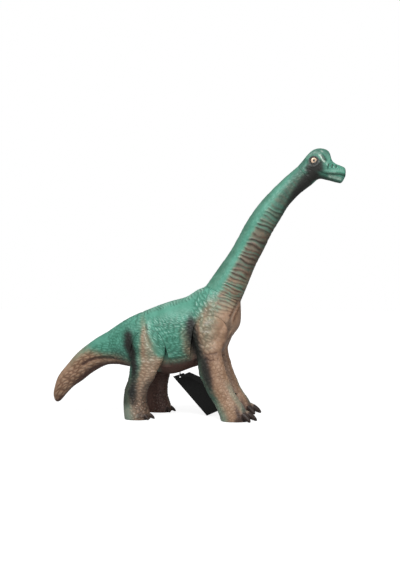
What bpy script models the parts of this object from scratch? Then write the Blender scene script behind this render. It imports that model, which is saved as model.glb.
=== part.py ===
"""A long-necked toy dinosaur: hollow soft vinyl castings that turn on hard plastic swivel spools.

Metres. +X is forward, +Y is the animal's left and +Z is up, with the soles on z = 0.
"""

import math

import bmesh
import bpy
from mathutils import Matrix, Vector

# Castings and fits
wall = 0.003
gap = 0.0003
overrun = 0.004

# Body casting
tail_seam_x = -0.1378
body_length = 0.1824
body_height = 0.146
belly_clearance = 0.0694
body_width = 0.094

# Neck, tail and head castings
neck_reach = 0.1328
neck_rise = 0.1918
tail_reach = 0.0989
tail_drop = 0.0949
head_length = 0.0655
head_height = 0.0555
head_width = 0.039

# Leg castings
hip_radius = 0.028
leg_thickness = 0.024
leg_inset = 0.0012
foot_tuck = 0.009
foot_splay = 0.0065
front_leg_depth = 0.046
hind_leg_depth = 0.046
front_foot_reach = 0.040
hind_foot_backstep = 0.017
hind_foot_forestep = 0.002
shin_bow = 0.004
hip_flare = math.radians(15)
shoulder_flare = math.radians(8)

# Claws
front_claw_length = 0.016
front_claw_radius = 0.0065
hind_claw_length = 0.009
hind_claw_radius = 0.0042
claw_spread = math.radians(38)

# Swivel spools
spool_radius = 0.009
flange_radius = 0.013
head_spool_radius = 0.006
head_flange_radius = 0.0095
flange_thickness = 0.0025

# Eyes
eye_radius = 0.0051
eye_bulge = 0.0022
eye_sink = 0.0026
eye_turn = math.radians(12)
brow_radius = 0.0052
brow_slope = math.radians(30)

# Swing tag and its loop
tag_length = 0.086
tag_width = 0.034
tag_lean = math.radians(41.3)
leaf_spread = math.radians(2)
card = 0.0009
tag_hole_radius = 0.0012
loop_radius = 0.0035
loop_wire_radius = 0.0006
anchor_half_length = 0.004

# Each row of a lofted casting: dorsal point (along, up), ventral point (along, up), width, top taper
body_shares = (
    (-0.047, 0.484, 0.047, 0.100, 0.580, 0.00),
    (0.122, 0.620, 0.177, 0.072, 0.766, 0.05),
    (0.299, 0.719, 0.355, 0.041, 0.915, 0.10),
    (0.488, 0.808, 0.532, 0.000, 0.990, 0.15),
    (0.654, 0.866, 0.731, 0.079, 1.000, 0.18),
    (0.720, 0.912, 0.831, 0.123, 0.990, 0.20),
    (0.768, 0.950, 0.962, 0.212, 0.957, 0.15),
    (0.814, 0.973, 1.080, 0.430, 0.900, 0.10),
    (0.833, 0.984, 1.151, 0.577, 0.780, 0.00),
    (0.847, 0.998, 1.153, 0.817, 0.620, 0.00),
)
head_shares = (
    (-0.060, 0.637, 0.284, 0.079, 0.95, 0.10),
    (0.075, 0.829, 0.357, 0.118, 1.00, 0.25),
    (0.234, 0.977, 0.418, 0.118, 0.95, 0.38),
    (0.431, 1.000, 0.504, 0.090, 0.85, 0.42),
    (0.588, 0.903, 0.601, 0.062, 0.74, 0.40),
    (0.662, 0.652, 0.687, 0.034, 0.68, 0.15),
    (0.760, 0.542, 0.774, 0.004, 0.67, 0.08),
    (0.871, 0.485, 0.878, -0.012, 0.63, 0.05),
    (0.965, 0.415, 0.944, 0.088, 0.54, 0.00),
    (1.000, 0.325, 0.990, 0.183, 0.40, 0.00),
)
jaw_drop_share = 0.223

# Each row past a seam: along and up of the centre line, half depth and half width of the seam's own
neck_shares = (
    (0.129, 0.159, 0.877, 0.845),
    (0.240, 0.299, 0.763, 0.730),
    (0.343, 0.429, 0.747, 0.700),
    (0.446, 0.567, 0.724, 0.680),
    (0.576, 0.702, 0.682, 0.650),
    (0.694, 0.808, 0.605, 0.600),
    (0.845, 0.913, 0.575, 0.570),
    (1.000, 1.000, 0.597, 0.600),
)
neck_end_axis_shares = (0.79, 0.61)
tail_shares = (
    (0.24, 0.087, 0.812, 0.84),
    (0.50, 0.261, 0.713, 0.72),
    (0.69, 0.446, 0.628, 0.62),
    (0.86, 0.620, 0.515, 0.51),
    (0.97, 0.830, 0.340, 0.34),
    (1.00, 0.955, 0.150, 0.15),
)

# Each row of a leg: height, reach, bow, half depth, tuck of the inner side, splay of the outer side
front_leg_shares = (
    (1.00, 0.00, 0.0, 1.18, 0.00, -0.12),
    (0.91, -0.01, 0.0, 1.13, 0.00, -0.05),
    (0.85, -0.03, 0.0, 1.00, 0.00, -0.05),
    (0.79, -0.04, 0.0, 0.90, 0.00, -0.05),
    (0.70, 0.01, 0.0, 0.89, 0.02, 0.00),
    (0.62, 0.06, 0.0, 0.93, 0.05, 0.08),
    (0.51, 0.15, 0.0, 0.98, 0.15, 0.15),
    (0.396, 0.33, 0.0, 0.96, 0.32, 0.28),
    (0.302, 0.48, 0.0, 0.95, 0.48, 0.42),
    (0.165, 0.79, 0.0, 0.97, 0.78, 0.75),
    (0.058, 0.96, 0.0, 1.00, 1.00, 1.00),
    (0.0, 1.00, 0.0, 0.96, 0.92, 0.90),
)
hind_leg_shares = (
    (1.00, 0.00, 0.0, 1.18, 0.00, -0.12),
    (0.92, 0.00, 0.0, 1.17, 0.00, 0.00),
    (0.83, 0.08, 0.0, 1.13, 0.00, 0.00),
    (0.745, 0.22, -0.2, 1.06, 0.02, 0.00),
    (0.66, 0.38, -0.2, 0.98, 0.08, 0.08),
    (0.535, 0.60, -0.4, 0.89, 0.20, 0.12),
    (0.42, 0.88, -0.9, 0.82, 0.35, 0.20),
    (0.26, 1.00, -1.0, 0.80, 0.60, 0.45),
    (0.139, 1.00, -0.5, 0.87, 0.85, 0.80),
    (0.05, 1.00, 0.0, 0.92, 1.00, 1.00),
    (0.0, 1.00, 0.0, 0.88, 0.92, 0.90),
)

# Where things sit on the castings
hip_shares = (0.3558, 0.318)
shoulder_shares = (0.9095, 0.477)
leg_seat_share = 0.73
eye_shares = (0.22, 0.614, 0.70)
brow_shares = (0.27, 0.80, 0.52)
brow_stretch_shares = (1.8, 1.1, 0.85)
claw_height_shares = (0.75, 0.45, 0.12)
claw_radius_shares = (1.0, 0.80, 0.18)
claw_along_shares = (-0.35, 0.35, 0.85)
tag_station_share = 3.35
near_leaf_shares = ((-0.092, -0.26), (0.900, -0.235), (1.06, 1.06), (-0.012, 0.24))
far_leaf_shares = ((-0.035, -0.18), (0.87, 0.24), (0.967, 1.58), (0.05, 0.50))
eye_dome_shares = ((1.0, 0.0), (1.0, 0.5), (0.85, 0.78), (0.5, 0.95), (0.15, 1.0))
thigh_dome_shares = ((1.0, 0.0), (1.0, 0.35), (0.94, 0.62), (0.78, 0.84), (0.48, 0.97), (0.16, 1.0))

# How finely the forms are divided
body_sides = 20
neck_sides = 16
dome_sides = 24
leg_sides = 16
spool_sides = 24
key_corners = 6
brow_segments = 10
brow_rings = 6
claw_sides = 8
loop_turn_steps = 16
wire_sides = 6
stem_sides = 8
body_squareness = 2.4
limb_squareness = 2.2
loft_steps = 2
crease_angle = math.radians(40)

for old in list(bpy.data.objects):
    bpy.data.objects.remove(old)


def material(name, colour, roughness):
    made = bpy.data.materials.new(name)
    made.use_nodes = True
    shader = made.node_tree.nodes["Principled BSDF"]
    shader.inputs["Base Color"].default_value = (*colour, 1)
    shader.inputs["Roughness"].default_value = roughness
    shader.inputs["Metallic"].default_value = 0
    return made


teal_vinyl = material("teal soft vinyl", (0.10, 0.37, 0.27), 0.42)
tan_vinyl = material("tan soft vinyl", (0.39, 0.26, 0.19), 0.48)
spool_plastic = material("natural polypropylene", (0.75, 0.74, 0.70), 0.35)
eye_enamel = material("glossy eye plastic", (0.69, 0.53, 0.38), 0.2)
black_card = material("black coated card", (0.01, 0.01, 0.01), 0.3)
clear_nylon = material("clear nylon", (0.8, 0.8, 0.8), 0.3)


def tube(name, rings):
    """A closed mesh through rings of equal count, with a flat face over each end."""
    count = len(rings[0])
    points = [point for ring in rings for point in ring]
    last = (len(rings) - 1) * count
    faces = [tuple(range(count)), tuple(range(last, last + count))]
    for start in range(0, last, count):
        for k in range(count):
            after = (k + 1) % count
            faces.append((start + k, start + after, start + count + after, start + count + k))
    mesh = bpy.data.meshes.new(name)
    mesh.from_pydata(points, [], faces)
    shell = bmesh.new()
    shell.from_mesh(mesh)
    bmesh.ops.recalc_face_normals(shell, faces=shell.faces)
    shell.to_mesh(mesh)
    shell.free()
    mesh.shade_smooth()
    mesh.set_sharp_from_angle(angle=crease_angle)
    return mesh


def piece(name, mesh, finish, pivot, parent=None):
    """A visible piece whose origin is its pivot, in world coordinates."""
    mesh.transform(Matrix.Translation(-pivot))
    obj = bpy.data.objects.new(name, mesh)
    bpy.context.scene.collection.objects.link(obj)
    mesh.materials.append(finish)
    obj["pivot"] = pivot
    obj.location = pivot
    if parent:
        obj.parent = parent
        obj.location = pivot - Vector(parent["pivot"])
    return obj


def helper(name, mesh):
    """A cutter or a shape that is joined to a piece."""
    obj = bpy.data.objects.new(name, mesh)
    bpy.context.scene.collection.objects.link(obj)
    obj.hide_render = True
    obj.display_type = "WIRE"
    return obj


def combine(target, operation, other):
    modifier = target.modifiers.new(other.name, "BOOLEAN")
    modifier.operation = operation
    modifier.solver = "EXACT"
    modifier.object = other


def smooth(rows, steps):
    """Rows through which a Catmull-Rom curve passes, with this many steps between two given rows."""
    out = []
    for k in range(len(rows) - 1):
        around = [rows[max(k - 1, 0)], rows[k], rows[k + 1], rows[min(k + 2, len(rows) - 1)]]
        for step in range(steps):
            out.append(blend(around, step / steps))
    return out + [tuple(rows[-1])]


def blend(around, t):
    weights = (
        (-t + 2 * t * t - t**3) / 2,
        (2 - 5 * t * t + 3 * t**3) / 2,
        (t + 4 * t * t - 3 * t**3) / 2,
        (t**3 - t * t) / 2,
    )
    return tuple(sum(w * row[n] for w, row in zip(weights, around)) for n in range(len(around[0])))


def rounded(angle, squareness=limb_squareness):
    """A point of the unit superellipse."""
    c = math.cos(angle)
    s = math.sin(angle)
    across = math.copysign(abs(c) ** (2 / squareness), c)
    up = math.copysign(abs(s) ** (2 / squareness), s)
    return across, up


def cross_section(row, sides, squareness=limb_squareness):
    """A ring about a row's ventral and dorsal points, narrower towards the top by its taper."""
    dorsal = Vector((row[0], 0, row[1]))
    ventral = Vector((row[2], 0, row[3]))
    centre = (dorsal + ventral) / 2
    half = (dorsal - ventral) / 2
    ring = []
    for k in range(sides):
        across, up = rounded(2 * math.pi * k / sides, squareness)
        width = row[4] * (1 - row[5] * max(up, 0))
        ring.append(centre + half * up + Vector((0, width * across, 0)))
    return ring


def inset(row, depth, most_width=None):
    """The row moved in by a wall on every side."""
    dorsal = Vector((row[0], row[1]))
    ventral = Vector((row[2], row[3]))
    in_plane = (dorsal - ventral).normalized() * depth
    width = row[4] - depth
    if most_width is not None:
        width = min(width, most_width)
    return (*(dorsal - in_plane), *(ventral + in_plane), width, row[5])


def shifted(row, along):
    """The row moved along the casting by a vector in the XZ plane."""
    return (row[0] + along.x, row[1] + along.z, row[2] + along.x, row[3] + along.z, row[4], row[5])


def seam(row, outward):
    """The middle of a row and the unit vector square to it, pointing to the side of outward."""
    centre = Vector(((row[0] + row[2]) / 2, 0, (row[1] + row[3]) / 2))
    axis = Vector((row[3] - row[1], 0, row[0] - row[2])).normalized()
    if axis.dot(outward) < 0:
        axis = -axis
    return centre, axis


def rows_on_path(start, axis, half_depth, half_width, centres, sizes, end_axis=None):
    """Rows square to a centre line that starts on a seam."""
    centres = [start, *centres]
    rows = []
    for k, centre in enumerate(centres):
        if k == 0:
            tangent = axis
        elif k == len(centres) - 1:
            tangent = end_axis or (centre - centres[k - 1])
        else:
            tangent = centres[k + 1] - centres[k - 1]
        tangent = tangent.normalized()
        up = Vector((-tangent.z, 0, tangent.x))
        if up.z < 0:
            up = -up
        depth = half_depth * sizes[k][0]
        dorsal = centre + up * depth
        ventral = centre - up * depth
        rows.append((dorsal.x, dorsal.z, ventral.x, ventral.z, half_width * sizes[k][1], 0))
    return rows


def frame_at(origin, axis):
    """A matrix whose Z runs along an axis and whose Y is the world's where it can be."""
    z = axis.normalized()
    y = Vector((0, 1, 0))
    if abs(z.y) > math.cos(math.radians(45)):
        y = Vector((0, 0, 1))
    x = y.cross(z).normalized()
    y = z.cross(x)
    return Matrix.Translation(origin) @ Matrix((x, y, z)).transposed().to_4x4()


def turned(name, profile, origin, axis, sides, corners=None):
    """A solid turned about an axis from (radius, height) pairs, with a polygon where corners says so."""
    place = frame_at(origin, axis)
    rings = []
    for n, (radius, height) in enumerate(profile):
        ring = []
        for k in range(sides):
            angle = 2 * math.pi * k / sides
            reach = radius
            if corners and corners[n]:
                sector = math.pi / corners[n]
                reach = radius / math.cos((angle % (2 * sector)) - sector)
            ring.append(place @ Vector((reach * math.cos(angle), reach * math.sin(angle), height)))
        rings.append(ring)
    return tube(name, rings)


def bore(target, name, radius, low, high, origin, axis, corners=0):
    """A round or cornered hole along an axis."""
    both = (corners, corners)
    mesh = turned(name, ((radius, low), (radius, high)), origin, axis, spool_sides, both)
    combine(target, "DIFFERENCE", helper(name, mesh))


def swivel(name, host, limb, origin, axis, radius, flange, parent):
    """Bores a host and a limb at their seam, and joins them by a spool that is keyed into the limb."""
    bore(host, name + "_host_bore", radius + gap, -wall - overrun, overrun, origin, axis)
    bore(limb, name + "_key_bore", radius + gap, -overrun, wall + overrun, origin, axis, key_corners)
    inner = -wall - gap
    outer = gap + wall + gap
    profile = (
        (flange, inner - flange_thickness),
        (flange, inner),
        (radius, inner),
        (radius, gap / 2),
        (radius, gap),
        (radius, outer),
        (flange, outer),
        (flange, outer + flange_thickness),
    )
    corners = (0, 0, 0, 0, key_corners, key_corners, 0, 0)
    mesh = turned(name, profile, origin, axis, spool_sides, corners)
    return piece(name, mesh, spool_plastic, origin, parent)


def hollow(shell, cavity_rows, sides, squareness=limb_squareness):
    """Cuts the cavity that leaves a casting its wall, and returns the cavity."""
    rings = [cross_section(row, sides, squareness) for row in cavity_rows]
    cavity = helper(shell.name + "_cavity", tube(shell.name + "_cavity", rings))
    combine(shell, "DIFFERENCE", cavity)
    return cavity


# Body casting
def body_row(shares):
    d_along, d_up, v_along, v_up, width, taper = shares
    return (
        tail_seam_x + d_along * body_length,
        belly_clearance + d_up * body_height,
        tail_seam_x + v_along * body_length,
        belly_clearance + v_up * body_height,
        width * body_width / 2,
        taper,
    )


body_rows = [body_row(shares) for shares in body_shares]
neck_seam, neck_axis = seam(body_rows[-1], Vector((0, 0, 1)))
tail_seam, tail_axis = seam(body_rows[0], Vector((-1, 0, 0)))
body_rings = [cross_section(row, body_sides, body_squareness) for row in smooth(body_rows, loft_steps)]
torso = piece("torso_shell", tube("torso_shell", body_rings), teal_vinyl, Vector((0, 0, 0)))
cavity_rows = [inset(row, wall) for row in body_rows]
cavity_rows[0] = shifted(cavity_rows[0], -tail_axis * wall)
cavity_rows[-1] = shifted(cavity_rows[-1], -neck_axis * wall)
del cavity_rows[-2]
body_cavity = hollow(torso, cavity_rows, body_sides, body_squareness)

# Leg seats in the body
leg_seat = leg_seat_share * body_width / 2
hip = Vector(
    (
        tail_seam_x + hip_shares[0] * body_length,
        0,
        belly_clearance + hip_shares[1] * body_height,
    )
)
shoulder = Vector(
    (
        tail_seam_x + shoulder_shares[0] * body_length,
        0,
        belly_clearance + shoulder_shares[1] * body_height,
    )
)


def keyhole(name, pivot, side, radius, inner, flare):
    """A round pocket that opens downwards, so that the leg can swing in it."""
    arc_steps = dome_sides // 2
    outline = []
    for k in range(arc_steps + 1):
        angle = flare + (math.pi - 2 * flare) * k / arc_steps
        outline.append((radius * math.cos(angle), radius * math.sin(angle)))
    drop = pivot.z - belly_clearance / 2
    slide = (drop + radius * math.sin(flare)) * math.tan(flare)
    outline.append((-radius * math.cos(flare) - slide, -drop))
    outline.append((radius * math.cos(flare) + slide, -drop))
    outer = body_width
    rings = []
    for distance in (inner, outer):
        rings.append([Vector((pivot.x + x, side * distance, pivot.z + z)) for x, z in outline])
    return tube(name, rings)


for pivot, place, flare in ((hip, "hip", hip_flare), (shoulder, "shoulder", shoulder_flare)):
    for side, hand in ((-1, "right"), (1, "left")):
        name = f"{hand}_{place}_pocket"
        pocket = helper(name, keyhole(name, pivot, side, hip_radius + gap, leg_seat, flare))
        combine(torso, "DIFFERENCE", pocket)
        name = f"{hand}_{place}_pocket_wall"
        wide = hip_radius + gap + wall
        backing = helper(name, keyhole(name, pivot, side, wide, leg_seat - wall, flare))
        combine(body_cavity, "DIFFERENCE", backing)


# Neck casting
def half_sizes(row):
    return (Vector((row[0], row[1])) - Vector((row[2], row[3]))).length / 2, row[4]


neck_base_depth, neck_base_width = half_sizes(body_rows[-1])
neck_start = neck_seam + neck_axis * gap
neck_centres = [
    neck_seam + Vector((along * neck_reach, 0, up * neck_rise)) for along, up, _, _ in neck_shares
]
neck_sizes = [(1, 1), *[(depth, width) for _, _, depth, width in neck_shares]]
head_axis = Vector((neck_end_axis_shares[0], 0, neck_end_axis_shares[1])).normalized()
neck_rows = rows_on_path(
    neck_start, neck_axis, neck_base_depth, neck_base_width, neck_centres, neck_sizes, head_axis
)
neck_rings = [cross_section(row, neck_sides) for row in smooth(neck_rows, loft_steps)]
neck = piece("neck_shell", tube("neck_shell", neck_rings), teal_vinyl, neck_seam, torso)
cavity_rows = [inset(row, wall) for row in neck_rows]
cavity_rows[0] = shifted(cavity_rows[0], neck_axis * wall)
cavity_rows[-1] = shifted(cavity_rows[-1], -head_axis * wall)
hollow(neck, cavity_rows, neck_sides)
swivel("neck_spool", torso, neck, neck_seam, neck_axis, spool_radius, flange_radius, neck)

# Tail casting
tail_base_depth, tail_base_width = half_sizes(body_rows[0])
tail_start = tail_seam + tail_axis * gap
tail_centres = [
    tail_seam - Vector((along * tail_reach, 0, down * tail_drop)) for along, down, _, _ in tail_shares
]
tail_sizes = [(1, 1), *[(depth, width) for _, _, depth, width in tail_shares]]
tail_rows = rows_on_path(
    tail_start, tail_axis, tail_base_depth, tail_base_width, tail_centres, tail_sizes
)
tail_rings = [cross_section(row, neck_sides) for row in smooth(tail_rows, loft_steps)]
tail = piece("tail_shell", tube("tail_shell", tail_rings), teal_vinyl, tail_seam, torso)
cavity_rows = [inset(row, wall) for row in tail_rows[:-2]]
cavity_rows[0] = shifted(cavity_rows[0], tail_axis * wall)
hollow(tail, cavity_rows, neck_sides)
swivel("tail_spool", torso, tail, tail_seam, tail_axis, spool_radius, flange_radius, tail)

# Head casting
head_seam = neck_centres[-1]
head_base_depth, head_base_width = half_sizes(neck_rows[-1])
jaw_z = head_seam.z - jaw_drop_share * head_height


def on_head(along, up):
    return head_seam.x + along * head_length, jaw_z + up * head_height


head_rows = rows_on_path(
    head_seam + head_axis * gap, head_axis, head_base_depth, head_base_width, [], [(1, 1)]
)
for d_along, d_up, v_along, v_up, width, taper in head_shares:
    head_rows.append(
        (*on_head(d_along, d_up), *on_head(v_along, v_up), width * head_width / 2, taper)
    )
head_rings = [cross_section(row, neck_sides) for row in smooth(head_rows, loft_steps)]
head = piece("head_shell", tube("head_shell", head_rings), teal_vinyl, head_seam, neck)
eye_seat = eye_shares[2] * head_width / 2
cavity_width = eye_seat - wall - eye_radius * math.sin(eye_turn)
cavity_rows = [inset(row, wall, cavity_width) for row in head_rows[:-2]]
cavity_rows[0] = shifted(inset(head_rows[0], wall), head_axis * wall)
hollow(head, cavity_rows, neck_sides)
swivel("head_spool", neck, head, head_seam, head_axis, head_spool_radius, head_flange_radius, head)


# Eyes and brows
def dome(name, radius, height, shares, base, origin, axis, sides):
    """A domed solid on a flat base, turned about an axis."""
    profile = [(radius * out, base + height * up) for out, up in shares]
    return turned(name, profile, origin, axis, sides)


for side, hand in ((-1, "right"), (1, "left")):
    x, z = on_head(eye_shares[0], eye_shares[1])
    socket = Vector((x, side * eye_seat, z))
    outward = Vector((math.sin(eye_turn), side * math.cos(eye_turn), 0))
    x, z = on_head(brow_shares[0], brow_shares[1])
    brow_spot = Vector((x, side * brow_shares[2] * head_width / 2, z))
    brow = bpy.data.meshes.new(hand + "_brow")
    shell = bmesh.new()
    bmesh.ops.create_uvsphere(
        shell, u_segments=brow_segments, v_segments=brow_rings, radius=brow_radius
    )
    bmesh.ops.scale(shell, vec=brow_stretch_shares, verts=shell.verts)
    bmesh.ops.rotate(shell, matrix=Matrix.Rotation(brow_slope, 3, "Y"), verts=shell.verts)
    bmesh.ops.translate(shell, vec=brow_spot, verts=shell.verts)
    shell.to_mesh(brow)
    shell.free()
    combine(head, "UNION", helper(hand + "_brow", brow))
    bore(head, hand + "_eye_socket", eye_radius + gap, 0, eye_sink + overrun, socket, outward)
    name = hand + "_eye"
    height = eye_sink + eye_bulge
    mesh = dome(name, eye_radius, height, eye_dome_shares, gap, socket, outward, dome_sides)
    piece(name, mesh, eye_enamel, socket, head)


# Leg castings
def leg_ring(pivot, side, reach, bow, depth, shares, inward=0):
    """A level ring of a leg, moved in by a wall where inward says so."""
    up, along, bow_share, deep, tuck, splay = shares
    inner = leg_seat + gap + leg_inset - tuck * foot_tuck + inward
    outer = leg_seat + gap + leg_thickness + splay * foot_splay - inward
    x = pivot.x + along * reach + bow_share * bow
    middle = (inner + outer) / 2
    half = (outer - inner) / 2
    ring = []
    for k in range(leg_sides):
        across, forward = rounded(2 * math.pi * k / leg_sides)
        offset = Vector(((deep * depth / 2 - inward) * forward, half * across, 0))
        ring.append(Vector((x, side * middle, up * pivot.z)) + offset)
    return ring


def claw(name, toe, direction, length, radius):
    """A claw that curves forward and down from the foot to its tip."""
    sideways = Vector((-direction.y, direction.x, 0))
    rings = []
    for along, up, size in zip(claw_along_shares, claw_height_shares, claw_radius_shares):
        centre = toe + direction * along * length + Vector((0, 0, up * 2 * radius))
        ring = []
        for k in range(claw_sides):
            angle = 2 * math.pi * k / claw_sides
            ring.append(
                centre
                + sideways * radius * size * math.cos(angle)
                + Vector((0, 0, radius * size * math.sin(angle)))
            )
        rings.append(ring)
    for point in rings[1] + rings[2]:
        point.z = max(point.z, gap)
    return tube(name, rings)


def leg(name, pivot, side, reach, bow, depth, rows, claws, claw_length, claw_radius, parent):
    """A hollow leg: a domed hip disc and a column down to a flat sole, with its claws."""
    centre = Vector((pivot.x, 0, pivot.z))
    base = leg_seat + gap
    outward = Vector((0, side, 0))
    hub = dome(
        name, hip_radius, leg_thickness, thigh_dome_shares, base, centre, outward, dome_sides
    )
    origin = Vector((pivot.x, side * leg_seat, pivot.z))
    shell = piece(name, hub, tan_vinyl, origin, parent)
    rings = [leg_ring(pivot, side, reach, bow, depth, row) for row in rows]
    combine(shell, "UNION", helper(name + "_column", tube(name + "_column", rings)))
    foot_half = rows[-2][3] * depth / 2
    middle = leg_seat + (leg_thickness + foot_splay - foot_tuck) / 2
    foot = Vector((pivot.x + reach, side * middle, 0))
    for k in range(claws):
        angle = claw_spread * (k - (claws - 1) / 2)
        direction = Vector((math.cos(angle), math.sin(angle), 0))
        across = (leg_thickness + foot_splay + foot_tuck) / 2
        edge = 1 / math.hypot(math.cos(angle) / foot_half, math.sin(angle) / across)
        toe = foot + direction * edge
        claw_name = f"{name}_claw_{k}"
        mesh = claw(claw_name, toe, direction, claw_length, claw_radius)
        combine(shell, "UNION", helper(claw_name, mesh))
    cavity_name = name + "_cavity"
    depth_inside = leg_thickness - 2 * wall
    inner_dome = dome(
        cavity_name,
        hip_radius - wall,
        depth_inside,
        thigh_dome_shares,
        base + wall,
        centre,
        outward,
        dome_sides // 2,
    )
    cavity = helper(cavity_name, inner_dome)
    sole_row = (wall / pivot.z, *rows[-1][1:])
    inner_rings = [leg_ring(pivot, side, reach, bow, depth, row, wall) for row in rows[1:-2]]
    inner_rings.append(leg_ring(pivot, side, reach, bow, depth, sole_row, wall))
    column = helper(cavity_name + "_column", tube(cavity_name + "_column", inner_rings))
    combine(cavity, "UNION", column)
    combine(shell, "DIFFERENCE", cavity)
    return shell


for side, hand in ((-1, "right"), (1, "left")):
    step = -hind_foot_backstep if side < 0 else hind_foot_forestep
    legs = (
        ("front", shoulder, front_foot_reach, 0, front_leg_depth, front_leg_shares),
        ("hind", hip, step, shin_bow, hind_leg_depth, hind_leg_shares),
    )
    for end, pivot, reach, bow, depth, rows in legs:
        claws = (3, front_claw_length, front_claw_radius)
        joint = "shoulder"
        if end == "hind":
            claws = (3, hind_claw_length, hind_claw_radius)
            joint = "hip"
        name = f"{hand}_{end}_leg_shell"
        shell = leg(name, pivot, side, reach, bow, depth, rows, *claws, torso)
        origin = Vector((pivot.x, side * leg_seat, pivot.z))
        swivel(
            f"{hand}_{joint}_spool",
            torso,
            shell,
            origin,
            Vector((0, side, 0)),
            spool_radius,
            flange_radius,
            shell,
        )

# Swing tag and its loop
station = int(tag_station_share)
hang = blend(body_rows[station - 1 : station + 3], tag_station_share - station)
belly = Vector((hang[2], 0, hang[3]))
pivot = belly - Vector((0, 0, gap + loop_wire_radius + 2 * loop_radius))
down = Vector((math.sin(tag_lean), 0, -math.cos(tag_lean)))
across = Vector((math.cos(tag_lean), 0, math.sin(tag_lean)))


def leaf(name, shares, tilt):
    """One leaf of the card, tilted sideways about the tag's pivot."""
    turn = Matrix.Rotation(tilt, 3, "X")
    rings = []
    for side in (-card / 2, card / 2):
        ring = []
        for along, over in shares:
            point = down * along * tag_length + across * over * tag_width + Vector((0, side, 0))
            ring.append(pivot + turn @ point)
        rings.append(ring)
    return tube(name, rings)


tag = piece("swing_tag", leaf("swing_tag", near_leaf_shares, -leaf_spread), black_card, pivot, torso)
far_leaf = helper("swing_tag_far_leaf", leaf("swing_tag_far_leaf", far_leaf_shares, leaf_spread))
combine(tag, "UNION", far_leaf)
hole = pivot - Vector((0, 0, tag_hole_radius - loop_wire_radius - gap))
sideways = Vector((0, 1, 0))
bore(tag, "swing_tag_hole", tag_hole_radius, -tag_width / 2, tag_width / 2, hole, sideways)

ring_centre = pivot + Vector((0, 0, loop_radius))
loop_mesh = bpy.data.meshes.new("tag_loop")
points = []
faces = []
for k in range(loop_turn_steps):
    turn = 2 * math.pi * k / loop_turn_steps
    out = Vector((0, math.sin(turn), -math.cos(turn)))
    for n in range(wire_sides):
        angle = 2 * math.pi * n / wire_sides
        offset = out * (loop_radius + loop_wire_radius * math.cos(angle))
        points.append(ring_centre + offset + Vector((loop_wire_radius * math.sin(angle), 0, 0)))
        after = ((k + 1) % loop_turn_steps) * wire_sides
        next_side = (n + 1) % wire_sides
        faces.append((k * wire_sides + n, after + n, after + next_side, k * wire_sides + next_side))
loop_mesh.from_pydata(points, [], faces)
shell = bmesh.new()
shell.from_mesh(loop_mesh)
bmesh.ops.recalc_face_normals(shell, faces=shell.faces)
shell.to_mesh(loop_mesh)
shell.free()
loop = piece("tag_loop", loop_mesh, clear_nylon, belly, torso)
stem_top = 2 * wall + 3 * loop_wire_radius
stem = turned(
    "tag_loop_stem",
    ((loop_wire_radius, -gap - loop_wire_radius), (loop_wire_radius, stem_top)),
    belly,
    Vector((0, 0, 1)),
    stem_sides,
)
combine(loop, "UNION", helper("tag_loop_stem", stem))
bar = turned(
    "tag_loop_bar",
    ((loop_wire_radius, -anchor_half_length), (loop_wire_radius, anchor_half_length)),
    belly + Vector((0, 0, stem_top)),
    sideways,
    stem_sides,
)
combine(loop, "UNION", helper("tag_loop_bar", bar))
bore(
    torso,
    "tag_loop_hole",
    loop_wire_radius + gap,
    -overrun,
    stem_top,
    belly,
    Vector((0, 0, 1)),
)
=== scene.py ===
"""A long-necked toy dinosaur in painted soft vinyl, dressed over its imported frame.

Metres, in the frame of the solids: +X is forward, +Y the animal's left and +Z up.
"""

import math

import bmesh
import bpy
import numpy as np
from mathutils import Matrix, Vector
from mathutils.bvhtree import BVHTree


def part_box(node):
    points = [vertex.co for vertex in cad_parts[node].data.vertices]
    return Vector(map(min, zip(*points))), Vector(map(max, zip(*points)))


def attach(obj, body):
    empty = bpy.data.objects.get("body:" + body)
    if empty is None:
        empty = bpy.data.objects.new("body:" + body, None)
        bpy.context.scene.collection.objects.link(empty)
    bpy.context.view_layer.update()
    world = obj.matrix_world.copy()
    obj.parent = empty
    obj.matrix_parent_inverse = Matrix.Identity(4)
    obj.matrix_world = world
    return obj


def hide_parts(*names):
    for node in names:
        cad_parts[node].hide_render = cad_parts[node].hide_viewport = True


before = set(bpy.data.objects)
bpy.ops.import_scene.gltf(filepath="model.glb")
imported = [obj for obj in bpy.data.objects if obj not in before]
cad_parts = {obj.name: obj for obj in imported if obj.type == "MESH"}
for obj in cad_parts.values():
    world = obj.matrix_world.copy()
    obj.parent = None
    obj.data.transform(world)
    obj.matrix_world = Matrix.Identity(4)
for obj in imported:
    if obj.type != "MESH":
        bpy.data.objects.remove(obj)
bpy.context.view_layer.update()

# The studio. A white sweep under a large overhead softbox and a weaker fill. The camera stands level
# with the middle of the figure, on its right side and turned a little towards the head. It sees white
# all round, while the figure reflects a dimmer room that is lighter above.
studio = bpy.context.scene
camera_turn = math.radians(8)
camera_distance = 1.5
camera_aim = Vector((0.0057, 0, 0.2160))
towards_camera = Vector((math.sin(camera_turn), -math.cos(camera_turn), 0))
camera = bpy.data.objects.new("camera", bpy.data.cameras.new("camera"))
camera.data.lens = 57.45
camera.data.clip_start = 0.05
camera.location = camera_aim + towards_camera * camera_distance
camera.rotation_euler = (-towards_camera).to_track_quat("-Z", "Y").to_euler()
studio.collection.objects.link(camera)
studio.camera = camera
studio.view_settings.view_transform = "Standard"


def linear(code, alpha=1):
    """A linear colour from an sRGB hex code."""
    parts = [int(code[k : k + 2], 16) / 255 for k in (1, 3, 5)]
    return (*(p / 12.92 if p <= 0.04045 else ((p + 0.055) / 1.055) ** 2.4 for p in parts), alpha)


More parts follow.
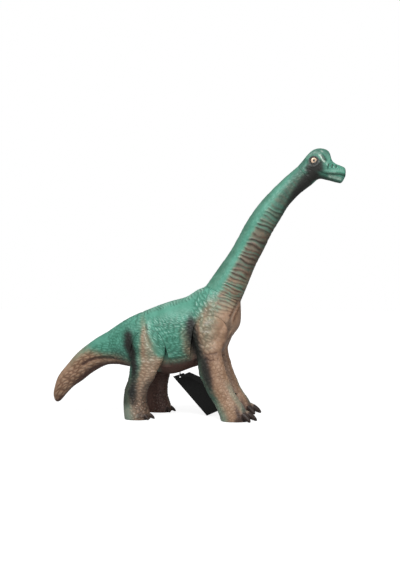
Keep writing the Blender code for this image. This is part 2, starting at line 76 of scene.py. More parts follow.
def node(tree, kind, *inputs, **more):
    """Adds a node. Its inputs are given in order or by capitalised name, as values, hex codes or nodes,
    and its settings by name in lower case."""
    made = tree.nodes.new(kind if "Node" in kind else "ShaderNode" + kind)
    for name, value in more.items():
        if name[0].islower():
            setattr(made, name, value)
    shown = [socket for socket in made.inputs if socket.enabled]
    named = [(made.inputs[key.replace("_", " ")], value) for key, value in more.items() if key[0].isupper()]
    for socket, value in [*zip(shown, inputs), *named]:
        if isinstance(value, bpy.types.Node):
            value = next(output for output in value.outputs if output.enabled)
        if isinstance(value, bpy.types.NodeSocket):
            tree.links.new(value, socket)
        elif isinstance(value, str) and value[0] == "#":
            socket.default_value = linear(value)
        else:
            socket.default_value = value
    return made


def blank_material(name):
    """A material without nodes, and its tree."""
    finish = bpy.data.materials.new(name)
    finish.use_nodes = True
    finish.node_tree.nodes.clear()
    return finish, finish.node_tree


lamp_aim = Vector((0, 0, 0.2))


def softbox(name, place, size, power):
    """A square lamp that faces the middle of the figure."""
    lamp = bpy.data.objects.new(name, bpy.data.lights.new(name, "AREA"))
    lamp.data.size = size
    lamp.data.energy = power
    lamp.location = place
    lamp.rotation_euler = (lamp_aim - lamp.location).to_track_quat("-Z", "Y").to_euler()
    studio.collection.objects.link(lamp)


softbox("key softbox", (-0.1, -0.95, 1.3), 0.8, 18.5)
softbox("front fill", (1.0, -1.4, 0.6), 0.9, 7)

studio.world = bpy.data.worlds.new("studio")
studio.world.use_nodes = True
tree = studio.world.node_tree
tree.nodes.clear()
path = node(tree, "LightPath").outputs
seen = node(tree, "Math", path["Is Camera Ray"], path["Is Transmission Ray"], operation="MAXIMUM")
height = node(tree, "SeparateXYZ", node(tree, "TexCoord").outputs["Generated"]).outputs["Z"]
dome = node(tree, "MapRange", height, 0.0, 0.9, 0.1, 0.5)
level = node(tree, "Mix", seen, dome, 1.0)
sky = node(tree, "Background", Color=(1, 1, 1, 1), Strength=level)
node(tree, "OutputWorld", Surface=sky)

paper, tree = blank_material("white paper sweep")
path = node(tree, "LightPath").outputs
matt = node(tree, "BsdfDiffuse", Color=(0.4, 0.4, 0.4, 1))
faint = node(tree, "BsdfDiffuse", Color=(0.32, 0.32, 0.32, 1))
away = node(tree, "VectorMath", node(tree, "TexCoord").outputs["Object"], operation="LENGTH")
whiter = node(tree, "MapRange", away, 0.25, 1.0, 0.86, 1.0)
glow = node(tree, "Emission", Color=(1, 1, 1, 1), Strength=whiter)
shown = node(tree, "AddShader", faint, glow)
node(tree, "OutputMaterial", Surface=node(tree, "MixShader", path["Is Camera Ray"], matt, shown))
half_side = 6.0
sweep_mesh = bpy.data.meshes.new("sweep")
corners = [(a * half_side, b * half_side, 0) for a, b in ((-1, -1), (1, -1), (1, 1), (-1, 1))]
sweep_mesh.from_pydata(corners, [], [(0, 1, 2, 3)])
sweep_mesh.materials.append(paper)
sweep = bpy.data.objects.new("sweep", sweep_mesh)
studio.collection.objects.link(sweep)

# Torso casting. A rotocast shell of tan soft vinyl, sculpted with wavy skin folds over the ribs, then
# sprayed by hand: teal from above, umber from below and black into the creases behind the legs.
mm = 0.001
tail_seam_x = -0.1378
body_length = 0.1824
body_height = 0.146
belly_clearance = 0.0694
body_width = 0.094
body_squareness = 2.4
body_shares = (
    (-0.047, 0.484, 0.047, 0.100, 0.580, 0.00),
    (0.122, 0.620, 0.177, 0.072, 0.766, 0.05),
    (0.299, 0.719, 0.355, 0.041, 0.915, 0.10),
    (0.488, 0.808, 0.532, 0.000, 0.990, 0.15),
    (0.654, 0.866, 0.731, 0.079, 1.000, 0.18),
    (0.720, 0.912, 0.831, 0.123, 0.990, 0.20),
    (0.768, 0.950, 0.962, 0.212, 0.957, 0.15),
    (0.814, 0.973, 1.080, 0.430, 0.900, 0.10),
    (0.833, 0.984, 1.151, 0.577, 0.780, 0.00),
    (0.847, 0.998, 1.153, 0.817, 0.620, 0.00),
)


def side_rows(shares, start, low, length, height, width):
    """Rows of a dorsal point, a ventral point, a half width and a taper, from shares of the sizes."""
    rows = []
    for d_along, d_up, v_along, v_up, wide, taper in shares:
        dorsal = (start + d_along * length, low + d_up * height)
        ventral = (start + v_along * length, low + v_up * height)
        rows.append((*dorsal, *ventral, wide * width / 2, taper))
    return rows


def fair(rows, spacing, length=lambda step: np.linalg.norm(step[:4]) / math.sqrt(2)):
    """Rows this far apart on the Catmull-Rom curve through the given ones."""
    rows = np.array(rows, float)
    out = []
    for k in range(len(rows) - 1):
        a, b, c, d = rows[max(k - 1, 0)], rows[k], rows[k + 1], rows[min(k + 2, len(rows) - 1)]
        steps = max(2, math.ceil(length(c - b) / spacing))
        for t in np.arange(steps) / steps:
            bend = (2 * a - 5 * b + 4 * c - d) * t**2 + (3 * b - a - 3 * c + d) * t**3
            out.append(b + ((c - a) * t + bend) / 2)
    return np.array([*out, rows[-1]])


def tube_faces(rings, sides):
    """The quads between neighbouring rings of a tube."""
    start = np.arange(rings - 1)[:, None] * sides
    k = np.arange(sides)[None, :]
    after = (k + 1) % sides
    quads = np.stack([start + k, start + after, start + sides + after, start + sides + k], -1)
    return quads.reshape(-1, 4)


def form(name, points, faces):
    """An object from points and faces."""
    mesh = bpy.data.meshes.new(name)
    mesh.from_pydata(points.tolist(), [], faces.tolist())
    obj = bpy.data.objects.new(name, mesh)
    studio.collection.objects.link(obj)
    return obj


def lofted(name, rows, sides, squareness):
    """An open tube of superellipse rings through rows, its points, and how high each lies on its ring."""
    turn = 2 * np.pi * np.arange(sides) / sides
    across, up = (np.sign(a) * np.abs(a) ** (2 / squareness) for a in (np.cos(turn), np.sin(turn)))
    middle = (rows[:, 0:2] + rows[:, 2:4]) / 2
    half = (rows[:, 0:2] - rows[:, 2:4]) / 2
    plane = middle[:, None] + half[:, None] * up[None, :, None]
    width = rows[:, 4:5] * (1 - rows[:, 5:6] * np.maximum(up, 0)) * across
    points = np.stack([plane[..., 0], width, plane[..., 1]], -1).reshape(-1, 3)
    obj = form(name, points, tube_faces(len(rows), sides)[:, ::-1])
    return obj, points, np.tile(up, len(rows))


def ramp(value, zero, one):
    """0 up to one value and 1 from the other on, smooth between. Either of the two may be the higher."""
    t = np.clip((value - zero) / (one - zero), 0, 1)
    return t * t * (3 - 2 * t)


def most(*covers):
    """The strongest of some covers at each point."""
    return np.max(np.broadcast_arrays(*covers), axis=0)


def beside(points, line):
    """How far along a line in side view each point lies, and how far to the left, in mm like the line."""
    flat = points[:, [0, 2]] / mm
    line = np.array(line, float)
    nearest, along, left, done = np.full(len(flat), np.inf), 0, 0, 0
    for a, b in zip(line[:-1], line[1:]):
        step = b - a
        length = np.linalg.norm(step)
        t = np.clip(((flat - a) @ step) / length**2, 0, 1)
        away = flat - a - t[:, None] * step
        distance = np.linalg.norm(away, axis=1)
        side = np.where(step[0] * away[:, 1] - step[1] * away[:, 0] < 0, -1, 1)
        closer = distance < nearest
        nearest = np.where(closer, distance, nearest)
        along = np.where(closer, done + t * length, along)
        left = np.where(closer, side * distance, left)
        done += length
    return along, left


def spray(points, *rows):
    """A stroke in side view, soft on both sides, through rows of x, z, radius and cover. Rows in mm."""
    flat = points[:, [0, 2]] / mm
    total = np.zeros(len(flat))
    for a, b in zip(rows[:-1], rows[1:]):
        a, b = np.array(a, float), np.array(b, float)
        step = b[:2] - a[:2]
        t = np.clip((flat - a[:2]) @ step / max(step @ step, 1e-6), 0, 1)
        away = np.linalg.norm(flat - a[:2] - t[:, None] * step, axis=1)
        radius = a[2] + t * (b[2] - a[2])
        total = np.maximum(total, (a[3] + t * (b[3] - a[3])) * np.exp(-((away / radius) ** 2)))
    return total


def groove(points, line, radius):
    """A stroke of one radius along a line of x and z."""
    return spray(points, *((x, z, radius, 1) for x, z in line))


def above(points, line, softness):
    """1 to the left of a line in side view and 0 to the right, with a soft edge."""
    return ramp(beside(points, line)[1], -softness, softness)


def store(mesh, **fields):
    """Saves fields on the mesh's points, as numbers or vectors."""
    for name, values in fields.items():
        values = np.asarray(values, np.float32)
        kind, key = ("FLOAT", "value") if values.ndim == 1 else ("FLOAT_VECTOR", "vector")
        layer = mesh.attributes.get(name) or mesh.attributes.new(name, kind, "POINT")
        layer.data.foreach_set(key, values.ravel())


# The sculptor's tool for all castings: it raises each point along its normal by folds, ribs, pebbles
# and carved lines, whose depths in mm are stored on the points.
relief = bpy.data.node_groups.new("sculpted vinyl relief", "GeometryNodeTree")
relief.interface.new_socket("Geometry", in_out="INPUT", socket_type="NodeSocketGeometry")
relief.interface.new_socket("Geometry", in_out="OUTPUT", socket_type="NodeSocketGeometry")
for name in ("Pebble Size", "Waviness", "Unevenness", "Seed"):
    relief.interface.new_socket(name, in_out="INPUT", socket_type="NodeSocketFloat")
relief.interface.new_socket("Material", in_out="INPUT", socket_type="NodeSocketMaterial")
depth_names = ("fold_depth", "rib_phase", "rib_depth", "pebble_depth", "carve", "skin")
given = node(relief, "NodeGroupInput").outputs
stored = {name: node(relief, "GeometryNodeInputNamedAttribute", Name=name) for name in depth_names}
stretched = node(relief, "GeometryNodeInputNamedAttribute", Name="grain", data_type="FLOAT_VECTOR")
place = node(relief, "GeometryNodeInputPosition")
seed = node(relief, "CombineXYZ", given["Seed"], given["Seed"])
shifted = node(relief, "VectorMath", place, seed, operation="ADD")
wander = node(relief, "TexNoise", Vector=shifted, Scale=1 / (9 * mm), Detail=2.0).outputs["Color"]
centred = node(relief, "VectorMath", wander, (0.5, 0.5, 0.5), operation="SUBTRACT")
wave = node(relief, "VectorMath", centred, given["Waviness"], operation="SCALE")
grain = node(relief, "VectorMath", stretched, wave, operation="ADD")
cells = node(
    relief, "TexVoronoi", Vector=grain, Scale=1.0, feature="DISTANCE_TO_EDGE", voronoi_dimensions="2D"
)
fold = node(relief, "MapRange", cells, 0.0, 0.5, -0.6, 0.5, interpolation_type="SMOOTHERSTEP")
wave_x = node(relief, "SeparateXYZ", wave)
phase = node(relief, "Math", wave_x, 0.55, stored["rib_phase"], operation="MULTIPLY_ADD")
turned = node(relief, "Math", phase, math.pi, operation="MULTIPLY")
furrow = node(relief, "Math", node(relief, "Math", turned, operation="COSINE"), operation="ABSOLUTE")
rib = node(relief, "Math", 0.3, node(relief, "Math", furrow, 3.0, operation="POWER"), operation="SUBTRACT")
per_size = node(relief, "Math", 1 / mm, given["Pebble Size"], operation="DIVIDE")
edges = node(
    relief, "TexVoronoi", Vector=shifted, Scale=per_size, Randomness=0.9, feature="DISTANCE_TO_EDGE"
)
pebble = node(relief, "MapRange", edges, 0.0, 0.32, -0.6, 0.35, interpolation_type="SMOOTHERSTEP")
lumps = node(relief, "TexNoise", Vector=shifted, Scale=1 / (14 * mm), Detail=1.0)
lump = node(relief, "Math", lumps, 0.5, operation="SUBTRACT")
uneven = node(relief, "Math", lump, given["Unevenness"], operation="MULTIPLY")
depth = stored["carve"]
for shape, name in ((pebble, "pebble_depth"), (rib, "rib_depth"), (fold, "fold_depth")):
    depth = node(relief, "Math", shape, stored[name], depth, operation="MULTIPLY_ADD")
whole = node(relief, "Math", uneven, stored["skin"], depth, operation="MULTIPLY_ADD")
normal = node(relief, "VectorMath", node(relief, "GeometryNodeInputNormal"), mm, operation="SCALE")
push = node(relief, "VectorMath", normal, whole, operation="SCALE")
moved = node(relief, "GeometryNodeSetPosition", Geometry=given["Geometry"], Offset=push)
saved = node(relief, "GeometryNodeStoreNamedAttribute", Geometry=moved, Name="relief", Value=depth)
smooth = node(relief, "GeometryNodeSetShadeSmooth", saved)
real = node(relief, "GeometryNodeRealizeInstances", smooth)
coated = node(relief, "GeometryNodeSetMaterial", Geometry=real, Material=given["Material"])
node(relief, "NodeGroupOutput", coated)

# The finish of all castings: soft vinyl cast in tan and airbrushed, with painted shade in its low places and
# painted highlights and pale paint on its tops. Fine pores, drawn coarser than they are, and uneven gloss
# catch the light.
vinyl, tree = blank_material("airbrushed soft vinyl")
place = node(tree, "TexCoord").outputs["Object"]
spray_names = ("teal", "umber", "black", "claw", "relief", "worn")
stored = {name: node(tree, "Attribute", attribute_name=name).outputs["Fac"] for name in spray_names}
mottle = node(tree, "TexNoise", Vector=place, Scale=1 / (16 * mm), Detail=3.0)
fleck = node(tree, "TexNoise", Vector=place, Scale=1 / (3.5 * mm), Detail=2.0)
droplets = node(tree, "Math", fleck, 0.3, -0.15, operation="MULTIPLY_ADD")
sprayed = {}
for name in ("umber", "teal", "black"):
    edge = node(tree, "Math", stored[name], droplets, operation="ADD")
    sprayed[name] = node(tree, "MapRange", edge, 0.05, 0.95, interpolation_type="SMOOTHSTEP")
patches = node(tree, "MapRange", mottle, 0.3, 0.7, interpolation_type="SMOOTHSTEP")
colour = node(tree, "Mix", patches, "#ac8b72", "#94745b", data_type="RGBA")
browns = node(tree, "Mix", fleck, "#614338", "#4d332a", data_type="RGBA")
teals = node(tree, "Mix", patches, "#599d88", "#4a8b76", data_type="RGBA")
layers = ((sprayed["umber"], browns), (sprayed["teal"], teals))
layers += ((sprayed["black"], "#1c1d19"), (stored["claw"], "#2c1d16"))
for cover, layer in layers:
    colour = node(tree, "Mix", cover, colour, layer, data_type="RGBA")
# Painted shade: the low places of the relief are darkened by multiplying in a dark colour.
low = node(tree, "MapRange", stored["relief"], -0.6, -0.05, 0.6, 0.0, interpolation_type="SMOOTHSTEP")
crevice_shade_colour = node(tree, "Mix", stored["teal"], "#7a5a4a", "#3d7d6b", data_type="RGBA")
colour = node(tree, "Mix", low, colour, crevice_shade_colour, data_type="RGBA", blend_type="MULTIPLY")
# Painted highlight: the tops of the relief are lightened, a little everywhere and more where the pale paint
# and highlight cover is stored.
high = node(tree, "MapRange", stored["relief"], 0.02, 0.35, interpolation_type="SMOOTHSTEP")
bare = node(tree, "Math", sprayed["black"], -0.06, 0.06, operation="MULTIPLY_ADD")
tops = node(tree, "Math", high, bare, operation="MULTIPLY")
raised = node(tree, "MapRange", high, 0.0, 1.0, 0.3, 1.0, interpolation_type="SMOOTHSTEP")
worn = node(tree, "Math", raised, stored["worn"], operation="MULTIPLY")
top_highlight_and_pale_paint = node(tree, "Math", tops, worn, operation="MAXIMUM")
colour = node(tree, "Mix", top_highlight_and_pale_paint, colour, "#e3efe2", data_type="RGBA")
cells = node(tree, "TexVoronoi", Vector=place, Scale=1 / (1.6 * mm), feature="SMOOTH_F1")
pores = node(tree, "Math", cells, node(tree, "TexNoise", Vector=place, Scale=1 / (0.8 * mm), Detail=2.0))
bump = node(tree, "Bump", Strength=0.2, Distance=0.25 * mm, Height=pores)
gloss = node(tree, "MapRange", fleck, 0.25, 0.75, 0.34, 0.46, interpolation_type="SMOOTHSTEP")
dark = node(tree, "Math", sprayed["black"], sprayed["umber"], operation="MAXIMUM")
dulled = node(tree, "Math", dark, 0.16, gloss, operation="MULTIPLY_ADD")
shader = node(tree, "BsdfPrincipled", Base_Color=colour, Roughness=dulled, IOR=1.5, Normal=bump)
node(tree, "OutputMaterial", Surface=shader)


def baked(obj):
    """Gives the object its mesh with the modifiers applied, and removes them."""
    mesh = bpy.data.meshes.new_from_object(obj.evaluated_get(bpy.context.evaluated_depsgraph_get()))
    obj.modifiers.clear()
    obj.data = mesh


def sculpt(obj, pebble_size=5.0, waviness=0.5, unevenness=0.5, seed=0.0, **fields):
    """Stores the relief's fields on an object and applies the relief to its mesh. Sizes and depths in mm."""
    count = len(obj.data.vertices)
    blank = dict.fromkeys(depth_names, np.zeros(count))
    blank |= {"grain": np.zeros((count, 3)), "skin": np.ones(count)}
    store(obj.data, **{**blank, **fields})
    modifier = obj.modifiers.new("relief", "NODES")
    modifier.node_group = relief
    chosen = {"Pebble Size": pebble_size, "Waviness": waviness, "Unevenness": unevenness}
    chosen |= {"Seed": seed, "Material": vinyl}
    for item in relief.interface.items_tree:
        if item.name in chosen:
            modifier[item.identifier] = chosen[item.name]
    baked(obj)
    for name in blank:
        obj.data.attributes.remove(obj.data.attributes[name])


def close_ends(obj):
    """Fills the open ends of a tube with flat faces, and turns all faces outwards."""
    shell = bmesh.new()
    shell.from_mesh(obj.data)
    bmesh.ops.holes_fill(shell, edges=[edge for edge in shell.edges if edge.is_boundary])
    bmesh.ops.recalc_face_normals(shell, faces=shell.faces)
    shell.to_mesh(obj.data)
    shell.free()


def cut(obj, cutter):
    """Cuts a closed shape out of a closed piece, and drops the shape."""
    modifier = obj.modifiers.new("cut", "BOOLEAN")
    modifier.operation = "DIFFERENCE"
    modifier.solver = "MANIFOLD"
    modifier.object = cutter
    baked(obj)
    bpy.data.objects.remove(cutter)


def make_room(obj, *names):
    """Cuts room for solids of the frame out of a piece, with a clearance all round."""
    clearance = 0.3 * mm
    for name in names:
        low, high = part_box(name)
        middle = (low + high) / 2
        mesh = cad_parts[name].data.copy()
        shell = bmesh.new()
        shell.from_mesh(mesh)
        bmesh.ops.remove_doubles(shell, verts=shell.verts, dist=0.001 * mm)
        for vert in shell.verts:
            away = vert.co - middle
            vert.co += Vector(math.copysign(clearance, a) if abs(a) > clearance else 0 for a in away)
        bmesh.ops.recalc_face_normals(shell, faces=shell.faces)
        shell.to_mesh(mesh)
        shell.free()
        cutter = bpy.data.objects.new("room_for_" + name, mesh)
        studio.collection.objects.link(cutter)
        cut(obj, cutter)


hip_shares = (0.3558, 0.318)
shoulder_shares = (0.9095, 0.477)
hip, shoulder = (
    Vector((tail_seam_x + along * body_length, 0, belly_clearance + up * body_height))
    for along, up in (hip_shares, shoulder_shares)
)
leg_seat_share = 0.73
leg_seat = leg_seat_share * body_width / 2
hip_radius = 0.028
seat_gap = 0.3 * mm
hip_flare = math.radians(15)
shoulder_flare = math.radians(8)

# Lines in side view, in mm: where each colour ends, how the neck runs and where the creases lie.
teal_edge = (
    (-260, 44), (-225, 70), (-205, 92), (-186, 106), (-170, 106), (-150, 101), (-130, 100), (-118, 96),
    (-100, 84), (-85, 70), (-62, 70), (-57, 94), (-40, 93), (-25, 94), (-8, 98), (-3, 120), (-1, 150),
    (10, 164), (18, 177), (26, 189), (38, 200), (50, 216), (62, 238), (75, 262), (90, 292), (106, 318),
    (122, 340), (140, 357), (160, 371), (185, 384), (260, 392),
)
umber_edge = (
    (-240, 22), (-222, 34), (-206, 52), (-192, 66), (-178, 78), (-163, 86), (-141, 90), (-119, 90),
    (-100, 82), (-62, 86), (-44, 92), (-20, 95), (-5, 98), (14, 103), (42, 107), (52, 113), (70, 116),
    (120, 117),
)
neck_line = (
    (18, 146), (44.6, 201.9), (61.7, 232.4), (76.5, 259.2), (90.2, 284.2), (103.8, 310.6),
    (121.1, 336.5), (136.8, 356.9), (156.8, 377), (177.4, 393.7), (200, 411),
)
thigh_crease = ((-76, 152), (-74, 136), (-67, 122), (-58, 110), (-50, 103), (-42, 100))
chest_line = ((92, 232), (80, 205), (70, 185), (62, 166), (57, 148), (51, 124), (47, 104))
belly_fold = ((-55, 100), (-40, 98), (-20, 101), (0, 106))
tail_groove = ((-188, 85), (-178, 91), (-168, 95), (-150, 97), (-130, 96), (-116, 93))


def off_middle(points, start, end):
    """0 by the mid-plane and 1 at the sides, so that marks laid in side view fade out above and below."""
    return ramp(np.abs(points[:, 1]) / mm, start, end)


def chest_groove(points, radius, shift=0):
    """A stroke along the crease that parts the throat from the shoulder."""
    return groove(points, [(x + shift, z) for x, z in chest_line], radius) * off_middle(points, 5, 16)


def throat_rib(along, left):
    """The number of the rib at each point of the throat. The ribs are uneven, and closer near the chest."""
    uneven = 2.2 * np.sin(along / 11) + 1.1 * np.sin(along / 4.3 + left / 6)
    uneven += 0.8 * np.sin(along / 7.1 - left / 4)
    return (along + 0.12 * left + uneven) / 8.2 - np.maximum(105 - along, 0) / 18


def throat_paint(points):
    """The sprays of the neck: teal that thins out over the ribs, with brown between them, and painted shade
    in black.
    """
    along, left = beside(points, neck_line)
    rib = throat_rib(along, left)
    z = points[:, 2] / mm
    patchy = 0.5 + 0.3 * np.sin(rib * 2.3) + 0.2 * np.sin(rib * 5.1 + 1)
    throat = ramp(-left, -10, 1)
    low = ramp(z, 250, 215)
    broken = 0.5 + 0.5 * np.sin(left / 3.1 + 2.3 * rib + np.sin(along / 7))
    furrow = np.abs(np.cos(np.pi * rib)) ** 4 * (1 - 0.75 * low * broken)
    blotch = ramp(np.sin(along / 4.4 + np.sin(left / 4)) * np.sin(left / 4.6 + along / 15), -0.4, 0.7)
    notch = np.exp(-(((left - 3) / 5) ** 2))
    dorsal = ramp(left, 8, 17)
    chest = 0.5 * chest_groove(points, 3.2)
    # The teal is thinned along the back of the neck as painted shade.
    teal = 1 - throat * (0.8 - 0.25 * patchy * (1 - furrow) - 0.3 * ramp(z, 285, 335)) - 0.2 * dorsal
    teal += 0.24 * throat * low * blotch * (1 - furrow)
    umber = most(throat * (0.58 + 0.25 * patchy), 0.3) - 0.3 * low * throat * (1 - furrow)
    # Painted shade: black along the back of the neck and along its underside edge.
    shade = (0.14 + 0.2 * dorsal) * (0.4 + 0.6 * ramp(z, 205, 245)) + 0.2 * ramp(-left, 10, 20) * (1 - low)
    # Painted shade in the rib furrows of the throat.
    furrow_shade = throat * furrow * (0.3 + 0.35 * notch) * (1 - 0.65 * low) * ramp(z, 360, 330)
    return teal * (1 - 0.7 * chest), most(umber, chest), most(shade, furrow_shade) * (1 - 0.5 * chest)


def mist(points):
    """A thin cover of pale teal that drifts over the tan of the thighs and the shoulders."""
    hind = spray(points, (-76, 142, 12, 0.38), (-66, 112, 14, 0.45), (-68, 80, 14, 0.4), (-76, 50, 12, 0.25))
    front = spray(points, (44, 190, 14, 0.45), (32, 178, 16, 0.42), (26, 155, 18, 0.38), (24, 120, 16, 0.28))
    return most(hind, front)


def side_paint(points):
    """The sprays that run over the torso, the thighs and the shoulders: teal, umber and black."""
    x, _, z = points.T / mm
    thigh = spray(
        points, (-88, 170, 7, 0.2), (-82, 152, 7, 0.45), (-79, 135, 8, 0.8), (-75, 118, 11, 1),
        (-72, 95, 16, 1),
    )
    shoulder = spray(points, (-16, 158, 8, 0.15), (-13, 140, 10, 0.55), (-10, 112, 10, 0.6))
    behind_shoulder = spray(
        points, (-4, 168, 7, 0.5), (-3, 154, 10.5, 1), (0, 138, 13, 1), (4, 121, 13, 1), (9, 106, 13, 0.95),
        (14, 93, 10, 0.7), (22, 80, 6, 0.2),
    )
    behind_thigh = spray(
        points, (-110, 148, 8, 0.3), (-107, 134, 11, 0.9), (-106, 118, 12.5, 1), (-100, 102, 11.5, 1),
        (-93, 84, 9, 0.95), (-94, 62, 9, 0.75), (-96, 44, 11, 1), (-94, 28, 10, 0.7), (-90, 16, 7, 0.3),
    )
    rump_haze = spray(
        points, (-100, 145, 16, 0.6), (-98, 120, 17, 0.9), (-98, 95, 17, 1), (-98, 65, 16, 1),
        (-98, 44, 14, 0.8),
    )
    teal = most(
        above(points, teal_edge, 14) * (1 - thigh) * (1 - 0.8 * shoulder),
        mist(points),
        0.5 * spray(points, (12, 172, 9, 1), (16, 150, 7, 0.8), (20, 120, 6, 0.3)),
    )
    umber = most(
        1 - above(points, umber_edge, 6),
        0.75 * groove(points, tail_groove, 3.2),
        0.5 * chest_groove(points, 3.2),
        0.45 * shoulder,
        0.3 * spray(points, (20, 128, 7, 0.8), (34, 175, 10, 0.8)),
    )
    black = most(
        behind_shoulder,
        behind_thigh,
        0.48 * rump_haze,
        0.13 * spray(points, (-50, 150, 24, 1), (-14, 150, 20, 1)),
        0.5 * spray(points, (-140, 108, 9, 0.6), (-118, 104, 13, 1)),
        0.25 * spray(points, (-62, 110, 9, 1), (-40, 106, 9, 1), (-10, 112, 12, 1)),
        # Painted shade: black along the thigh crease and the belly fold.
        0.25 * groove(points, thigh_crease, 2.2) + 0.3 * groove(points, belly_fold, 2.2),
    )
    ribbed = ramp(z, 164, 196) * ramp(x, 24, 42) * (1 - above(points, chest_line, 3) * ramp(z, 204, 188))
    return [a + (b - a) * ribbed for a, b in zip((teal, umber, black), throat_paint(points))]


def side_skin(points):
    """The wrinkles of the flank, which hang in bowls, and of the rump and shoulders, which slant."""
    x, _, z = points.T / mm
    bowl = np.stack([x / 9.5, (z - 0.0085 * (x + 15) ** 2) / 3.3, 0 * x], -1)
    slant = np.stack([(0.74 * x - 0.67 * z) / 10.5, (0.67 * x + 0.74 * z) / 6, 0 * x], -1)
    slant /= np.where(x < -60, 0.66, 1)[:, None]
    level = np.stack([x / 9.5, (z + 0.12 * x) / 4.3, 0 * x], -1)
    behind_crease = above(points, ((-38, 96), *thigh_crease[::-1], (-80, 175)), 2)
    ahead = ramp(x, -5, 3)
    flank = (1 - behind_crease) * (1 - ahead) * ramp(z, 88, 96)
    slanted = most(behind_crease, ahead)
    slanted_depth = np.select([x < -98, x < -60], [0.48, 0.64], 0.7)
    depth = flank * (0.22 + 0.78 * ramp(z, 172, 152)) + slanted * slanted_depth
    depth *= (1 - 0.5 * ramp(x, 25, 45)) * (1 - groove(points, thigh_crease, 3))
    thigh = (behind_crease > 0.5) & (x > -100)
    grain = np.where(thigh[:, None], level, np.where((slanted > 0.5)[:, None], slant, bowl))
    return grain, depth * np.where(slanted > 0.5, 0.95, 0.8)


def place_of(obj):
    """The points and normals of an object's mesh."""
    points = np.empty(len(obj.data.vertices) * 3, np.float32)
    normals = np.empty_like(points)
    obj.data.vertices.foreach_get("co", points)
    obj.data.vertex_normals.foreach_get("vector", normals)
    return points.reshape(-1, 3).astype(float), normals.reshape(-1, 3).astype(float)


def paint(obj, sprays):
    """Stores the covers of the sprays on a finished mesh, and returns its points."""
    points = place_of(obj)[0]
    covers = dict(zip(("teal", "umber", "black"), sprays(points)))
    store(obj.data, claw=np.zeros(len(points)), **covers)
    return points


def dress(piece, name, body):
    """Puts a piece in the place of a solid, on its body."""
    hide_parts(name)
    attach(piece, body)


side_seed = 3.0
torso_sides = 400
body_rows = side_rows(body_shares, tail_seam_x, belly_clearance, body_length, body_height, body_width)
torso, points, up = lofted("torso_skin", fair(body_rows, 0.95 * mm), torso_sides, body_squareness)
x, y, z = points.T / mm
grain, fold_depth = side_skin(points)
along, left = beside(points, neck_line)
chest_ribs = ramp(z, 158, 180) * ramp(-left, -3, 5) * ramp(x, 22, 34) * ramp(x, 74, 66)
spine = ramp(up, 0.78, 0.88)
spine_ribs = spine * ramp(x, 22, 15) * ramp(x, -95, -75)
spine_rib = (x + 0.8 * z) / 6.4 + 0.4 * np.sin(y / 7 + x / 15) + 0.2 * np.sin(y / 3.1 - x / 9)
uneven = (0.7 + 0.3 * np.sin(x / 3.7 + y / 11)) * (0.35 + 0.65 * off_middle(points, 4, 18))
carve = 0.7 * chest_groove(points, 1.5)
carve -= 0.6 * chest_groove(points, 1.7, -4) + 0.6 * chest_groove(points, 1.7, 4)
carve -= 0.8 * groove(points, thigh_crease, 2.2) + 0.8 * groove(points, belly_fold, 1.9)
carve += 0.8 * groove(points, [(a + 5, b + 4) for a, b in thigh_crease], 3.5)
for place in (hip, shoulder):
    rim = np.abs(np.hypot(points[:, 0] - place.x, points[:, 2] - place.z) - hip_radius) / mm
    sunk = np.maximum(leg_seat / mm + 3.2 - np.abs(y), 0) * off_middle(points, 20, 30)
    carve += np.minimum(sunk, 4) * np.exp(-((rim / 7) ** 2)) * ramp(z, 100, 110)
chest_bump = ramp(x, 60, 68) * ramp(z, 200, 185)
fold_depth *= (1 - chest_ribs) * (1 - 0.8 * chest_bump) * (1 - spine_ribs) * ramp(z, 84, 92)
sculpt(
    torso, pebble_size=4.6, waviness=0.35, seed=side_seed, grain=grain, fold_depth=fold_depth, carve=carve,
    rib_phase=np.where(chest_ribs > spine_ribs, throat_rib(along, left), spine_rib),
    rib_depth=most(0.8 * chest_ribs, spine_ribs * uneven),
    pebble_depth=0.25 * most(ramp(x, -84, -98), 0.4 * spine),
)
close_ends(torso)
torso_faces = tube_faces(len(points) // torso_sides, torso_sides)
torso_surface = BVHTree.FromPolygons(points.tolist(), torso_faces.tolist())


def leg_pocket(name, pivot, side, flare):
    """A round pocket, open below, in which the leg swings. Its floor is a fine grid that takes paint."""
    reach = hip_radius + seat_gap
    turns = np.linspace(flare, math.radians(88), 24)
    high = reach * np.sin(turns)
    low = np.linspace(belly_clearance / 2 - pivot.z, high[0], 24)[:-1]
    flared = reach * math.cos(flare) + (high[0] - low) * math.tan(flare)
    halves = np.concatenate([flared, reach * np.cos(turns)])
    across = pivot.x + halves[:, None] * np.linspace(-1, 1, 21)
    up = pivot.z + np.concatenate([low, high])[:, None] + 0 * across
    inner = np.stack([across, 0 * across + side * leg_seat, up], -1).reshape(-1, 3)
    outer = inner * (1, 0, 1) + (0, side * body_width, 0)
    index = np.arange(len(inner)).reshape(across.shape)
    floor = np.stack([index[:-1, :-1], index[:-1, 1:], index[1:, 1:], index[1:, :-1]], -1).reshape(-1, 4)
    rim = np.concatenate([index[0, :-1], index[:-1, -1], index[-1, :0:-1], index[:0:-1, 0]])
    after = np.roll(rim, -1)
    walls = np.stack([rim, after, after + len(inner), rim + len(inner)], -1)
    cutter = form(name, np.vstack([inner, outer]), np.vstack([floor, floor + len(inner), walls]))
    close_ends(cutter)
    return cutter


for side in (-1, 1):
    cut(torso, leg_pocket("hip_pocket", hip, side, hip_flare))
    cut(torso, leg_pocket("shoulder_pocket", shoulder, side, shoulder_flare))
make_room(torso, "neck_spool", "tail_spool", "right_shoulder_spool", "left_shoulder_spool")
make_room(torso, "right_hip_spool", "left_hip_spool", "tag_loop")


